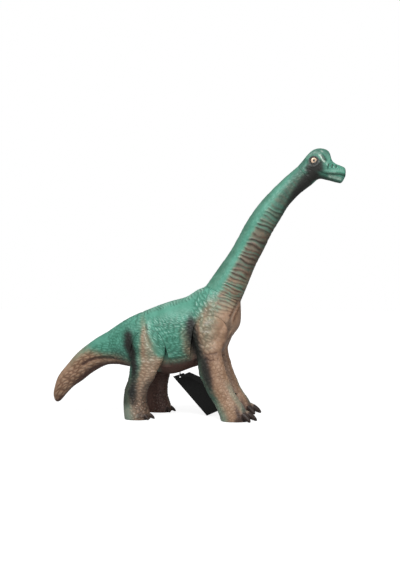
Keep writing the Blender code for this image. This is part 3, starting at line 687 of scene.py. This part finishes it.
def torso_paint(points):
    """The side sprays, with painted shade on the flat floors of the leg pockets."""
    teal, umber, black = side_paint(points)
    floor = np.abs(np.abs(points[:, 1]) - leg_seat) < 0.1 * mm
    # Painted shade on the pocket floors.
    return teal, most(umber, 0.5 * floor), most(black, 0.3 * floor)


points = paint(torso, torso_paint)
x = points[:, 0] / mm
# Painted highlight: short glints along the spine, stored together with the pale paint of the thigh mist.
below_spine = np.abs(beside(points, [(row[0] / mm, row[1] / mm) for row in body_rows])[1])
spine_glint = np.exp(-((below_spine / 6) ** 2)) * ramp(x, -90, -70) * ramp(x, 22, 12)
spine_glint *= (0.6 + 0.4 * np.sin(x / 4.3) * np.sin(x / 11)) * off_middle(points, 5, 18)
store(torso.data, worn=most(0.6 * spine_glint, 0.25 * mist(points)))
dress(torso, "torso_shell", "torso")

# Neck casting. One long hollow arm of the same vinyl, smooth along its back and ribbed across its
# throat side, where the teal spray thins out over brown.
neck_reach = 0.1328
neck_rise = 0.1918
limb_squareness = 2.2
neck_shares = (
    (0.129, 0.159, 0.877, 0.845),
    (0.240, 0.299, 0.763, 0.730),
    (0.343, 0.429, 0.747, 0.700),
    (0.446, 0.567, 0.724, 0.680),
    (0.576, 0.702, 0.682, 0.650),
    (0.694, 0.808, 0.605, 0.600),
    (0.845, 0.913, 0.575, 0.570),
    (1.000, 1.000, 0.597, 0.600),
)
head_axis = Vector((0.79, 0, 0.61)).normalized()


def seam(row, outward):
    """The middle of a row, the unit vector square to it on the side of outward, and its half sizes."""
    dorsal = Vector((row[0], 0, row[1]))
    ventral = Vector((row[2], 0, row[3]))
    axis = Vector((dorsal.z - ventral.z, 0, ventral.x - dorsal.x)).normalized()
    if axis.dot(outward) < 0:
        axis = -axis
    return (dorsal + ventral) / 2, axis, (dorsal - ventral).length / 2, row[4]


def rows_on_path(middle, axis, half_depth, half_width, shares, reach, rise, end_axis=None):
    """Rows square to a centre line that starts on a seam, from shares of its reach, rise and half sizes."""
    centres = [middle + axis * seat_gap]
    centres += [middle + Vector((along * reach, 0, up * rise)) for along, up, _, _ in shares]
    rows = []
    for k, (_, _, deep, wide) in enumerate([(0, 0, 1, 1), *shares]):
        if k == 0:
            tangent = axis
        elif k == len(centres) - 1:
            tangent = end_axis or (centres[k] - centres[k - 1])
        else:
            tangent = centres[k + 1] - centres[k - 1]
        tangent = tangent.normalized()
        up = Vector((-tangent.z, 0, tangent.x)) * math.copysign(1, tangent.x)
        dorsal = centres[k] + up * half_depth * deep
        ventral = centres[k] - up * half_depth * deep
        rows.append((dorsal.x, dorsal.z, ventral.x, ventral.z, half_width * wide, 0))
    return rows


neck_seam = seam(body_rows[-1], Vector((0, 0, 1)))
neck_rows = rows_on_path(*neck_seam, neck_shares, neck_reach, neck_rise, head_axis)
neck, points, up = lofted("neck_skin", fair(neck_rows, 0.9 * mm), 180, limb_squareness)
z = points[:, 2] / mm
along, left = beside(points, neck_line)
rib = throat_rib(along, left)
throat = ramp(-left, -9, 0) * ramp(z, 362, 325) * (1 - 0.8 * ramp(-up, 0.75, 0.95))
sculpt(
    neck, pebble_size=3.2, waviness=0.3, seed=5.0,
    grain=np.stack([along / 9, left / 3.4, 0 * z], -1),
    fold_depth=0.25 * (1 - throat),
    rib_phase=rib,
    rib_depth=1.1 * throat * (0.65 + 0.35 * np.sin(1.7 * rib)),
    carve=0.8 * chest_groove(points, 2.4) * ramp(z, 240, 222),
)
close_ends(neck)
make_room(neck, "neck_spool", "head_spool")


def neck_paint(points):
    """The throat's sprays and painted shade, with black that comes down from the jaw."""
    teal, umber, shade = throat_paint(points)
    black = spray(
        points, (192, 394, 15, 1), (180, 383, 15, 1), (168, 368, 14, 0.95), (158, 354, 12, 0.85),
        (148, 339, 10, 0.7), (136, 320, 8, 0.5), (114, 285, 5, 0.35), (96, 250, 4, 0.3),
    )
    haze = spray(points, (180, 410, 13, 1), (160, 382, 13, 1), (140, 350, 13, 0.95), (120, 318, 12, 0.5))
    return teal, umber, most(black, 0.55 * haze, shade)


paint(neck, neck_paint)
dress(neck, "neck_shell", "neck")

# Tail casting. A short tapering hollow of the same vinyl, teal at its root and bare tan towards the
# tip, with rows of pebbly scales and a groove along its lower side.
tail_reach = 0.0989
tail_drop = 0.0949
tail_shares = (
    (0.24, 0.087, 0.812, 0.84),
    (0.50, 0.261, 0.713, 0.72),
    (0.69, 0.446, 0.628, 0.62),
    (0.86, 0.620, 0.515, 0.51),
    (0.97, 0.830, 0.340, 0.34),
    (0.998, 0.935, 0.190, 0.19),
    (1.003, 0.972, 0.060, 0.06),
)
tail_seam = seam(body_rows[0], Vector((-1, 0, 0)))
tail_rows = rows_on_path(*tail_seam, tail_shares, -tail_reach, -tail_drop)
tail, points, up = lofted("tail_skin", fair(tail_rows, 0.9 * mm), 170, limb_squareness)
x = points[:, 0] / mm
along, left = beside(points, [((a + c) / 2 / mm, (b + d) / 2 / mm) for a, b, c, d, _, _ in tail_rows])
growing = np.log1p(0.004 * along) / 0.004
tip = ramp(x, -160, -186)
side_band = ramp(up, 0.85, 0.3) * ramp(up, -0.95, -0.75)
below_groove = groove(points, [(a + 1, b - 6) for a, b in tail_groove], 3)
sculpt(
    tail, pebble_size=4.6, waviness=0.3, unevenness=0.6, seed=8.0,
    grain=np.stack([growing / 8 + 0.12 * left, left / 5.6, 0 * x], -1),
    fold_depth=side_band * (0.55 + 0.3 * tip),
    pebble_depth=0.2 * (1 - tip),
    carve=0.4 * below_groove - 0.8 * groove(points, tail_groove, 2.0),
)
close_ends(tail)
make_room(tail, "tail_spool")


def tail_paint(points):
    """The side sprays, with a teal that thins out towards the tip and lasts longest along the back."""
    teal, umber, black = side_paint(points)
    fade = 0.3 + 0.7 * ramp(points[:, 0] / mm, -205, -165)
    back = spray(
        points, (-178, 116, 12, 0.7), (-192, 106, 10, 0.5), (-206, 92, 8, 0.35), (-218, 74, 6, 0.15)
    )
    return most(teal * fade, back), most(umber, 0.04), black


paint(tail, tail_paint)
dress(tail, "tail_shell", "tail")

# Head casting. The nasal dome, the blunt snout and the closed mouth are one hollow piece, with the
# lids, nostril hollow and lips sculpted in and the cheek sprayed black behind the eye.
head_length = 0.0655
head_height = 0.0555
head_width = 0.039
jaw_drop_share = 0.223
head_shares = (
    (-0.060, 0.637, 0.284, 0.079, 0.95, 0.10),
    (0.075, 0.829, 0.357, 0.118, 1.00, 0.25),
    (0.234, 0.977, 0.418, 0.118, 0.95, 0.38),
    (0.431, 1.000, 0.504, 0.090, 0.85, 0.42),
    (0.588, 0.903, 0.601, 0.062, 0.74, 0.40),
    (0.662, 0.652, 0.687, 0.034, 0.68, 0.15),
    (0.760, 0.542, 0.774, 0.004, 0.67, 0.08),
    (0.871, 0.485, 0.878, -0.012, 0.63, 0.05),
    (0.960, 0.435, 0.938, 0.060, 0.56, 0.00),
    (0.992, 0.370, 0.978, 0.150, 0.46, 0.00),
    (1.000, 0.300, 0.992, 0.215, 0.28, 0.00),
)
neck_middle, _, neck_depth, neck_width = neck_seam
head_seam = neck_middle + Vector((neck_reach, 0, neck_rise))
head_base = (neck_depth * neck_shares[-1][2], neck_width * neck_shares[-1][3])
jaw_z = head_seam.z - jaw_drop_share * head_height
head_rows = rows_on_path(head_seam, head_axis, *head_base, (), 0, 0)
head_rows += side_rows(head_shares, head_seam.x, jaw_z, head_length, head_height, head_width)
head, points, _ = lofted("head_skin", fair(head_rows, 0.55 * mm), 200, limb_squareness)
x, _, z = points.T / mm
eye_low, eye_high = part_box("right_eye")
eye_middle = (eye_low + eye_high) / 2


def from_eye(points):
    """How far each point lies from the middle of the eye in side view, in mm."""
    return np.hypot(points[:, 0] - eye_middle.x, points[:, 2] - eye_middle.z) / mm


def dots(points, *rows):
    """The sum of round spots of x, z, radius and cover, each a very short stroke."""
    return sum(spray(points, (a, *more), (a + 0.3, *more)) for a, *more in rows)


def slits(points, radius):
    """Three short upright slits behind the nostril."""
    tops = ((215.4, 410.15), (221.4, 408.65), (227.2, 407.2))
    return sum(spray(points, (a, b, radius, 1), (a - 1, 404, radius, 0.8)) for a, b in tops)


brow = spray(
    points, (183, 422, 3.2, 0.7), (189, 427.5, 3.4, 1), (197, 428.5, 3.4, 1), (203, 424, 2.6, 1.1),
    (206.5, 416, 2.4, 1.1), (211, 411.5, 2.4, 0.7),
)
nasal_hollow = spray(points, (199, 430, 2.4, 0.5), (205, 423, 3.0, 1), (210.5, 416.5, 2.4, 0.8))
nasal_arch = spray(
    points, (203, 434, 3, 0.5), (211, 429, 3.4, 0.9), (215.5, 420, 3, 0.9), (214, 411, 3, 0.5)
)
mouth = spray(
    points, (205, 398, 2.2, 0.5), (213, 395.8, 2, 1), (223, 395, 2, 1), (233, 394.4, 2, 1),
    (243, 392, 2, 0.9),
)
upper_lip = spray(points, (211, 401.5, 3, 0.5), (225, 400.5, 3, 0.8), (240, 399.5, 3, 0.8))
lower_lip = dots(points, (218, 390.8, 2.5, 1), (224, 388.8, 2.5, 1), (230, 387, 2.5, 1), (236, 386, 2.5, 1))
lower_lid = spray(points, (182.5, 411, 1.6, 0.6), (187.5, 408.2, 1.8, 1), (193, 407.2, 1.6, 0.5))
warts = dots(
    points, (180, 402.2, 2.2, 1), (182.8, 393.4, 2, 0.7), (174.5, 397.5, 2.2, 0.5), (186, 400.5, 1.7, 0.4)
)
lid_ring = ramp(np.abs(from_eye(points) - 6.5), 1.9, 0.3)
lid_hollow = ramp(np.abs(from_eye(points) - 9.6), 2.6, 0.5)
carve = 1.8 * brow - 1.5 * nasal_hollow + 0.8 * nasal_arch - 1.3 * mouth + 0.6 * upper_lip + 0.9 * lower_lip
carve += 0.9 * lower_lid + 1.2 * warts - 0.9 * slits(points, 1.3) + 0.3 * lid_ring - 0.4 * lid_hollow
sculpt(
    head, pebble_size=3.6, unevenness=0.6, seed=11.0,
    pebble_depth=0.18 + 0.3 * ramp(z, 398, 404) * ramp(x, 206, 214),
    carve=carve * off_middle(points, 5, 9),
)
close_ends(head)
make_room(head, "head_spool", "right_eye", "left_eye")


def head_paint(points):
    """Teal all over, with black sprayed around the eye, over the cheek and under the jaw, and painted shade
    on the crown and in the nasal hollow.
    """
    side = off_middle(points, 3, 8)
    ring = ramp(from_eye(points), 10.5, 7.0) * side
    cheek = spray(
        points, (203, 412, 8, 0.8), (199, 404, 12, 1), (187, 402, 13, 1), (192, 391, 15, 1),
        (182, 386, 15, 1), (168, 376, 14, 0.95),
    )
    temple = 0.55 * spray(points, (186, 428, 6, 0.5), (177, 419, 9, 1), (173, 406, 11, 1))
    jaw = spray(points, (200, 388, 8, 0.9), (212, 387, 6, 0.7), (224, 384, 4.5, 0.6), (236, 380.5, 3.4, 0.5))
    lips = 0.5 * spray(points, (206, 397, 3, 0.8), (222, 394.5, 3, 1), (240, 393, 3, 0.8)) * side
    # Painted shade in the hollow behind the nasal arch.
    hollow = 0.75 * spray(points, (200, 429, 3, 0.6), (205, 422.5, 3.2, 1), (210.5, 416, 2.6, 0.9)) * side
    marks = 0.6 * slits(points, 1.6) * side
    # A dark haze over the whole head, with painted shade that grows towards the top of the crown.
    haze_and_top_shade = 0.18 + 0.33 * ramp(points[:, 2] / mm, 414, 430)
    black = most(haze_and_top_shade, ring, cheek * most(side, 0.5), temple, jaw, lips, hollow, marks)
    return np.ones(len(points)), 0.35 * most(lips, jaw), black


points = paint(head, head_paint)
# Painted highlights: a streak along the brow ridge, a dot on the crest and spots on the lower lip.
brow_highlight = spray(points, (201, 425, 1.8, 0.8), (204.5, 420, 1.7, 1))
brow_highlight += spray(points, (206, 417, 1.6, 0.9), (209, 414, 1.7, 1))
crest_highlight = spray(points, (204, 432, 2, 0.7), (205, 431, 2, 0.7))
lumps = spray(points, (217, 391, 3, 1), (225, 389, 3, 0.8), (234, 386, 3, 1))
store(head.data, worn=0.55 * most(brow_highlight, crest_highlight, 0.65 * lumps) * off_middle(points, 3, 8))
dress(head, "head_shell", "head")

# Eyes. Two hard glossy domes glued into the sockets, printed with a tan iris, a black pupil and a
# black rim.
eye_radius = 5.1 * mm
eye_bulge = 2.6 * mm
eye_sink = 2.2 * mm
eye_turn = math.radians(12)
iris_share = 0.92
pupil_share = 0.40
enamel, tree = blank_material("printed glossy eye")
out = node(tree, "Attribute", attribute_name="from_pupil").outputs["Fac"]
place = node(tree, "TexCoord").outputs["Object"]
fleck = node(tree, "TexNoise", Vector=place, Scale=1 / (1.2 * mm), Detail=2.0)
iris = node(tree, "Mix", fleck, "#e8d0b8", "#d4ae8c", data_type="RGBA")
rim = node(tree, "MapRange", out, iris_share - 0.05, iris_share + 0.03)
hole = node(tree, "MapRange", out, pupil_share + 0.03, pupil_share - 0.03)
dark = node(tree, "Math", rim, hole, operation="MAXIMUM")
colour = node(tree, "Mix", dark, iris, "#14100c", data_type="RGBA")
shader = node(
    tree, "BsdfPrincipled", Base_Color=colour, Roughness=0.15, Coat_Weight=0.25, Coat_Roughness=0.05
)
node(tree, "OutputMaterial", Surface=shader)


def eye(hand, side, sides=72, rings=28):
    """A closed dome on a flat base, looking outwards and a little forwards."""
    outward = np.array((math.sin(eye_turn), side * math.cos(eye_turn), 0))
    forward = np.array((outward[1], -outward[0], 0))
    upward = np.array((0, 0, 1))
    tall = eye_sink + eye_bulge
    seat = np.array((eye_middle.x, side * abs(eye_middle.y), eye_middle.z)) - (tall + seat_gap) / 2 * outward
    profile = [(0.96 * eye_radius, seat_gap), (eye_radius, seat_gap + 0.2 * mm)]
    for turn in np.linspace(0, np.pi / 2, rings)[:-1]:
        profile.append((eye_radius * math.cos(turn) ** 0.9, seat_gap + tall / 2 * (1 + math.sin(turn))))
    turn = 2 * np.pi * np.arange(sides) / sides
    circle = np.outer(np.cos(turn), forward) + np.outer(np.sin(turn), upward)
    points = np.vstack([seat + outward * height + radius * circle for radius, height in profile])
    obj = form(f"{hand}_eye_dome", points, tube_faces(len(profile), sides))
    store(obj.data, from_pupil=np.repeat([radius / eye_radius for radius, _ in profile], sides))
    close_ends(obj)
    obj.data.shade_smooth()
    obj.data.materials.append(enamel)
    dress(obj, f"{hand}_eye", "head")


eye("right", -1)
eye("left", 1)

# Leg castings. Four hollow legs with flat soles. Each turns on a round haunch let into the body, and
# its claws are part of the casting and painted dark brown.
leg_thickness = 0.024
leg_depth = 0.046
leg_inset = 0.0012
leg_edge = 0.006
haunch_slope = 0.004
haunch_drop = 0.0012
haunch_least = 0.003
blend_low = 0.026
blend_high = 0.008
toe_spread = 38
foot_height = 0.006
skin_step = 0.85 * mm
foot_tuck = 0.009
foot_splay = 0.0065
front_leg_reach = 0.040
right_hind_reach = -0.017
left_hind_reach = 0.002
hind_leg_bow = 0.004
front_claw_length = 0.016
front_claw_radius = 0.0065
hind_claw_length = 0.009
hind_claw_radius = 0.0042
front_leg_shares = (
    (1.00, 0.00, 0.0, 1.18, 0.00, -0.12),
    (0.91, -0.01, 0.0, 1.13, 0.00, -0.05),
    (0.85, -0.03, 0.0, 1.00, 0.00, -0.05),
    (0.79, -0.04, 0.0, 0.90, 0.00, -0.05),
    (0.70, 0.01, 0.0, 0.89, 0.02, 0.00),
    (0.62, 0.06, 0.0, 0.93, 0.05, 0.08),
    (0.51, 0.15, 0.0, 0.98, 0.15, 0.15),
    (0.396, 0.33, 0.0, 0.96, 0.32, 0.28),
    (0.302, 0.48, 0.0, 0.95, 0.48, 0.42),
    (0.165, 0.79, 0.0, 0.97, 0.78, 0.75),
    (0.058, 0.96, 0.0, 1.00, 1.00, 1.00),
    (0.0, 1.00, 0.0, 0.96, 0.92, 0.90),
)
hind_leg_shares = (
    (1.00, 0.00, 0.0, 1.18, 0.00, -0.12),
    (0.92, 0.00, 0.0, 1.17, 0.00, 0.00),
    (0.83, 0.08, 0.0, 1.13, 0.00, 0.00),
    (0.745, 0.22, -0.2, 1.06, 0.02, 0.00),
    (0.66, 0.38, -0.2, 0.98, 0.08, 0.08),
    (0.535, 0.60, -0.4, 0.89, 0.20, 0.12),
    (0.42, 0.88, -0.9, 0.82, 0.35, 0.20),
    (0.26, 1.00, -1.0, 0.80, 0.60, 0.45),
    (0.139, 1.00, -0.5, 0.87, 0.85, 0.80),
    (0.05, 1.00, 0.0, 0.92, 1.00, 1.00),
    (0.0, 1.00, 0.0, 0.88, 0.92, 0.90),
)


def leg_rows(pivot, reach, bow, shares):
    """A leg's level rows: height, middle, half depth, and how far out its inside, edge and outside are."""
    rows = []
    base = leg_seat + seat_gap
    for turn in np.radians((86, 76, 65, 54, 42, 31, 20, 10)):
        height = pivot.z + hip_radius * math.sin(turn)
        outer = base + leg_thickness - haunch_slope
        rows.append((height, pivot.x, hip_radius * math.cos(turn), base, base + leg_edge, outer))
    for up, along, bow_share, deep, tuck, splay in shares:
        height = up * pivot.z
        chord = math.sqrt(max(hip_radius**2 - (height - pivot.z) ** 2, 0))
        inner = base + leg_inset - tuck * foot_tuck
        outer = base + leg_thickness + splay * foot_splay - haunch_drop * ramp(up, 0.8, 1.0)
        edge = base + leg_edge + ((inner + outer) / 2 - base - leg_edge) * ramp(1 - up, 0.05, 0.4)
        half = max(deep * leg_depth / 2, chord)
        rows.append((height, pivot.x + along * reach + bow_share * bow, half, inner, edge, outer))
    return rows


def flank_at(x, z):
    """How far the torso's side stands from the mid-plane, at the least far enough to hold a leg."""
    hit = torso_surface.ray_cast(Vector((x, body_width, z)), Vector((0, -1, 0)))[0]
    return max(hit.y if hit else 0, leg_seat + seat_gap + haunch_least)


def leg_form(name, side, rows, pivot, mound_edge, sides=150):
    """A closed leg of level rings, flat on its sole, whose haunch swells out of the torso's own surface."""
    turn = 2 * np.pi * np.arange(sides) / sides
    forward = np.sign(np.cos(turn)) * np.abs(np.cos(turn)) ** (2 / 2.2)
    out = np.sin(turn)
    outwards = np.where(out > 0, 1, 0) * np.abs(out) ** (2 / 2.2)
    inwards = np.where(out < 0, 1, 0) * np.abs(out) ** (2 / 2.8)
    height, middle, half, inner, edge, outer = (column[:, None] for column in rows.T)
    px = middle + half * forward
    pz = height + 0 * px
    skin = np.array([[flank_at(x, z) for x, z in zip(*ring)] for ring in zip(px, pz)])
    held = ramp(height, pivot.z - blend_low, pivot.z - blend_high)
    spread = np.where(pz > pivot.z, np.hypot(px - pivot.x, pz - pivot.z) / hip_radius, np.abs(forward))
    swell = np.clip(1 - spread**2, 0, 1) ** 0.8
    peak = outer - flank_at(pivot.x, pivot.z)
    flat = np.stack([px.ravel(), 0 * px.ravel(), pz.ravel()], -1)
    mound = swell * peak * mound_edge(flat).reshape(px.shape)
    level = skin[:, :1] + (skin[:, sides // 2, None] - skin[:, :1]) * (1 - forward) / 2
    rim = level * held + edge * (1 - held)
    free = rim + (outer - rim) * outwards
    outside = (skin + mound) * held + free * (1 - held)
    inside = rim - (rim - inner) * inwards
    py = side * np.where(out > 0, outside, inside)
    obj = form(name, np.stack([px, py, pz], -1).reshape(-1, 3), tube_faces(len(rows), sides))
    close_ends(obj)
    return obj


def claw_form(toe, direction, length, radius, steps=14, sides=20):
    """A curved claw that tapers forward and down from the foot."""
    sideways = np.array((-direction[1], direction[0], 0))
    turn = 2 * np.pi * np.arange(sides) / sides
    rings = []
    for t in np.arange(steps + 1) / steps:
        height = radius * (1.75 - 0.35 * t - 1.1 * t * t)
        rounded = math.sqrt(max(1 - max(t - 0.8, 0) ** 2 / 0.045, 0.05))
        size = radius * (1.05 - 0.1 * t - 0.5 * t**2) * rounded
        centre = toe + direction * (1.3 * t - 0.45) * length + np.array((0, 0, height))
        ring = centre + np.outer(np.cos(turn), sideways) * size * 0.85
        ring += np.outer(np.sin(turn), (0, 0, 1)) * size
        ring[:, 2] = np.maximum(ring[:, 2], 0.4 * mm)
        rings.append(ring)
    obj = form("claw", np.vstack(rings), tube_faces(steps + 1, sides))
    close_ends(obj)
    return obj


def leg(hand, end, side, pivot, reach, bow, shares, mound_edge, claw_length, claw_radius):
    """A leg and its claws as one skin, its points, how far forward and outside each lies, and the covers of
    what is free to be sculpted and of the claws."""
    rows = fair(leg_rows(pivot, reach, bow, shares), mm, lambda step: abs(step[0]))
    obj = leg_form(f"{hand}_{end}_leg_skin", side, rows, pivot, mound_edge)
    foot = rows[np.argmin(np.abs(rows[:, 0] - foot_height))]
    centre = np.array((foot[1], side * (foot[3] + foot[5]) / 2, 0))
    across = (foot[5] - foot[3]) / 2
    shell = bmesh.new()
    shell.from_mesh(obj.data)
    toes = []
    for turn in np.radians((-toe_spread, 0, toe_spread)):
        direction = np.array((math.cos(turn), math.sin(turn), 0))
        toe = centre + direction / math.hypot(math.cos(turn) / foot[2], math.sin(turn) / across)
        claw = claw_form(toe, direction, claw_length, claw_radius)
        shell.from_mesh(claw.data)
        bpy.data.objects.remove(claw)
        toes.append((toe, direction))
    shell.to_mesh(obj.data)
    shell.free()
    voxels = obj.modifiers.new("one skin", "REMESH")
    voxels.mode = "VOXEL"
    voxels.voxel_size = skin_step
    rounding = obj.modifiers.new("rounding", "SMOOTH")
    rounding.factor = 0.5
    rounding.iterations = 4
    baked(obj)
    points, normals = place_of(obj)
    height, *columns = rows[::-1].T
    middle, half, inner, _, outer = (np.interp(points[:, 2], height, column) for column in columns)
    forward = (points[:, 0] - middle) / half
    outside = (side * points[:, 1] - inner) / (outer - inner)
    pocket = ramp(points[:, 2], pivot.z - 40 * mm, pivot.z - 30 * mm)
    facing = ramp(side * normals[:, 1], 0.2, 0.6)
    free = (1 - pocket * (1 - facing)) * ramp(points[:, 2], 0.8 * mm, 3 * mm)
    claws = np.zeros(len(points))
    for toe, direction in toes:
        away = points - toe
        ahead = away @ direction
        aside = np.linalg.norm(away - np.outer(ahead, direction) - [0, 0, claw_radius], axis=1) / claw_radius
        claws = most(claws, ramp(aside, 1.5, 1.2) * ramp(ahead / claw_length, -0.12, 0.08))
    return obj, points, forward, outside, free * (1 - claws), claws


for side, hand in ((-1, "right"), (1, "left")):
    obj, points, forward, outside, free, claws = leg(
        hand, "front", side, shoulder, front_leg_reach, 0, front_leg_shares, lambda flat: np.ones(len(flat)),
        front_claw_length, front_claw_radius,
    )
    z = points[:, 2] / mm
    grain, fold_depth = side_skin(points)
    elbow = groove(points, ((0, 112), (10, 109), (24, 106), (40, 108)), 1.8)
    below_elbow = groove(points, ((14, 100), (30, 97), (44, 99)), 1.6)
    upper = ramp(z, 96, 112)
    sculpt(
        obj, pebble_size=6.0, seed=side_seed, grain=grain, fold_depth=fold_depth * free * upper,
        pebble_depth=0.5 * free * (1 - upper), carve=-free * (0.45 * elbow + 0.35 * below_elbow), skin=free,
    )
    teal, umber, black = side_paint(points)
    lower = ramp(z, 120, 92)
    rear = ramp(-forward, -0.1, 0.85)
    streak = spray(
        points, (15, 107, 10.5, 0.85), (18, 95, 11.5, 1), (21, 82, 11, 1), (25, 68, 10, 1),
        (29, 54, 7.5, 0.85), (33, 40, 5.5, 0.5),
    )
    inside = ramp(outside, 0.42, 0.15) * ramp(z, 112, 92)
    heel = ramp(-forward, 0.1, 0.8) * ramp(z, 32, 12)
    green = most((0.56 - 0.1 * ramp(z, 30, 60)) * rear, 0.1 * ramp(z, 80, 40), 0.5 * heel)
    shade = 0.8 * rear * ramp(z, 14, 40)
    toes = most(
        spray(points, (74, 2, 6, 0.8), (83, 8, 9, 1), (95, 6, 9, 1)),
        spray(points, (77, 8, 5, 0.9), (72, 22, 3.5, 0.6), (68, 34, 2.5, 0)),
        spray(points, (86, 10, 5, 0.9), (81, 24, 3.5, 0.6), (76, 38, 2.5, 0)),
    )
    pale = ramp(forward, 0.45, 0.85) * ramp(z, 10, 20) * ramp(z, 75, 50)
    teal = most(teal * (1 - lower) + green * lower, 0.35 * pale)
    # The umber at the top of the inner side is partly paint and partly painted shade near the body.
    umber = most(umber * (1 - lower) + most(shade, streak) * lower, toes, 0.25 * inside * ramp(z, 40, 70))
    black = most(black, 0.8 * streak * lower, 0.45 * shade * lower, 0.55 * toes)
    store(obj.data, teal=teal * (1 - 0.8 * inside), umber=umber, black=black * (1 - inside), claw=claws)
    # Pale paint on the heel and the mist, and pale stripes down the front of the foot that are partly
    # painted highlight.
    store(obj.data, worn=0.25 * most(heel, pale, 0.9 * mist(points)) * (1 - claws) * (1 - inside))
    make_room(obj, f"{hand}_shoulder_spool")
    dress(obj, f"{hand}_front_leg_shell", f"{hand}_front_leg")


def thigh_mound(points):
    """1 behind the thigh crease, where the haunch swells, and 0 ahead of it, where the flank runs on."""
    return above(points, ((-30, 92), *thigh_crease[::-1], (-82, 180)), 5)


for side, hand, reach in ((-1, "right", right_hind_reach), (1, "left", left_hind_reach)):
    obj, points, forward, outside, free, claws = leg(
        hand, "hind", side, hip, reach, hind_leg_bow, hind_leg_shares, thigh_mound,
        hind_claw_length, hind_claw_radius,
    )
    z = points[:, 2] / mm
    stride = (reach - right_hind_reach) * (1 - np.clip(points[:, 2] / hip.z, 0, 1))
    rest = points - np.outer(stride, (1, 0, 0))
    grain, fold_depth = side_skin(rest)
    upper = ramp(z, 30, 45)
    sculpt(
        obj, pebble_size=5.4, seed=side_seed, grain=grain,
        fold_depth=fold_depth * free * upper * (0.7 + 0.3 * ramp(outside, 0.1, 0.5)),
        pebble_depth=0.75 * free * (1 - upper) * ramp(forward, -0.5, -0.1),
        carve=-0.4 * free * groove(rest, thigh_crease, 2.0), skin=free,
    )
    teal, umber, black = side_paint(rest)
    lower = ramp(z, 108, 84)
    low = ramp(z, 85, 55)
    rear = ramp(-forward, -0.25 - 0.25 * low, 0.6)
    inside = ramp(outside, 0.42, 0.15) * ramp(z, 96, 78)
    heel = rear * ramp(z, 30, 12)
    foot = ramp(z, 40, 16) * (1 - rear)
    toes = spray(rest, (-84, 8, 7, 0.8), (-72, 6, 7, 1))
    teal = teal * (1 - lower) + most((0.8 - 0.35 * low) * rear, 0.18) * lower
    # Umber low on the shin, stronger towards the front edge, where it is painted shade; on the inner side it
    # is partly paint and partly painted shade.
    umber = most(
        umber * (1 - lower), 0.6 * foot, toes, 0.95 * inside, 0.6 * rear * lower,
        low * (0.36 + 0.35 * ramp(forward, 0.35, 0.9)),
    )
    black = most(black, (0.46 + 0.14 * low) * rear * lower) * (1 - 0.7 * heel)
    store(obj.data, teal=teal * (1 - inside), umber=umber, black=black * (1 - 0.7 * inside), claw=claws)
    store(obj.data, worn=most(0.5 * heel, 0.35 * mist(rest)) * (1 - claws) * (1 - inside))
    make_room(obj, f"{hand}_hip_spool")
    dress(obj, f"{hand}_hind_leg_shell", f"{hand}_hind_leg")

# Swing tag. Two leaves of black coated card, left bare, that hang from the loop. The coating is smooth, its
# gloss varies a little, and broad lighter and darker patches in its black are painted reflection.


def plain(name, code, roughness, mottle=0.0, pattern=4 * mm, **inputs):
    """A finish of one colour that varies a little in tone and gloss over a pattern of the real size."""
    finish, tree = blank_material(name)
    place = node(tree, "TexCoord").outputs["Object"]
    noise = node(tree, "TexNoise", Vector=place, Scale=1 / pattern, Detail=3.0)
    tone = node(tree, "MapRange", noise, 0.3, 0.7, 1 - mottle, 1 + mottle)
    scaled = node(tree, "VectorMath", linear(code)[:3], tone, operation="SCALE")
    gloss = node(tree, "MapRange", noise, 0.3, 0.7, roughness * 0.85, roughness * 1.15)
    shader = node(tree, "BsdfPrincipled", Base_Color=scaled, Roughness=gloss, **inputs)
    node(tree, "OutputMaterial", Surface=shader)
    return finish


def coat(name, finish):
    """Gives a solid of the frame a finish in place of its plain one."""
    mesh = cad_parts[name].data
    mesh.materials.clear()
    mesh.materials.append(finish)


# Painted reflection: the card's black is made lighter and darker in broad soft patches.
coat("swing_tag", plain("black coated card", "#111211", 0.2, 0.5, 22 * mm, IOR=1.38))

# Tag loop. A clear nylon tie with its T bar behind the belly wall. It is moulded in one piece, and
# smooth and a little cloudy.
coat("tag_loop", plain("clear nylon", "#d9dcda", 0.25, Transmission_Weight=0.6, IOR=1.53))

# Swivel spools. Smooth natural polypropylene discs that hold the limbs. They are hidden inside the
# castings, where each turns in the wall of the piece behind it.
polypropylene = plain("natural polypropylene", "#e2ded4", 0.42, 0.04)
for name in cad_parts:
    if name.endswith("_spool"):
        coat(name, polypropylene)
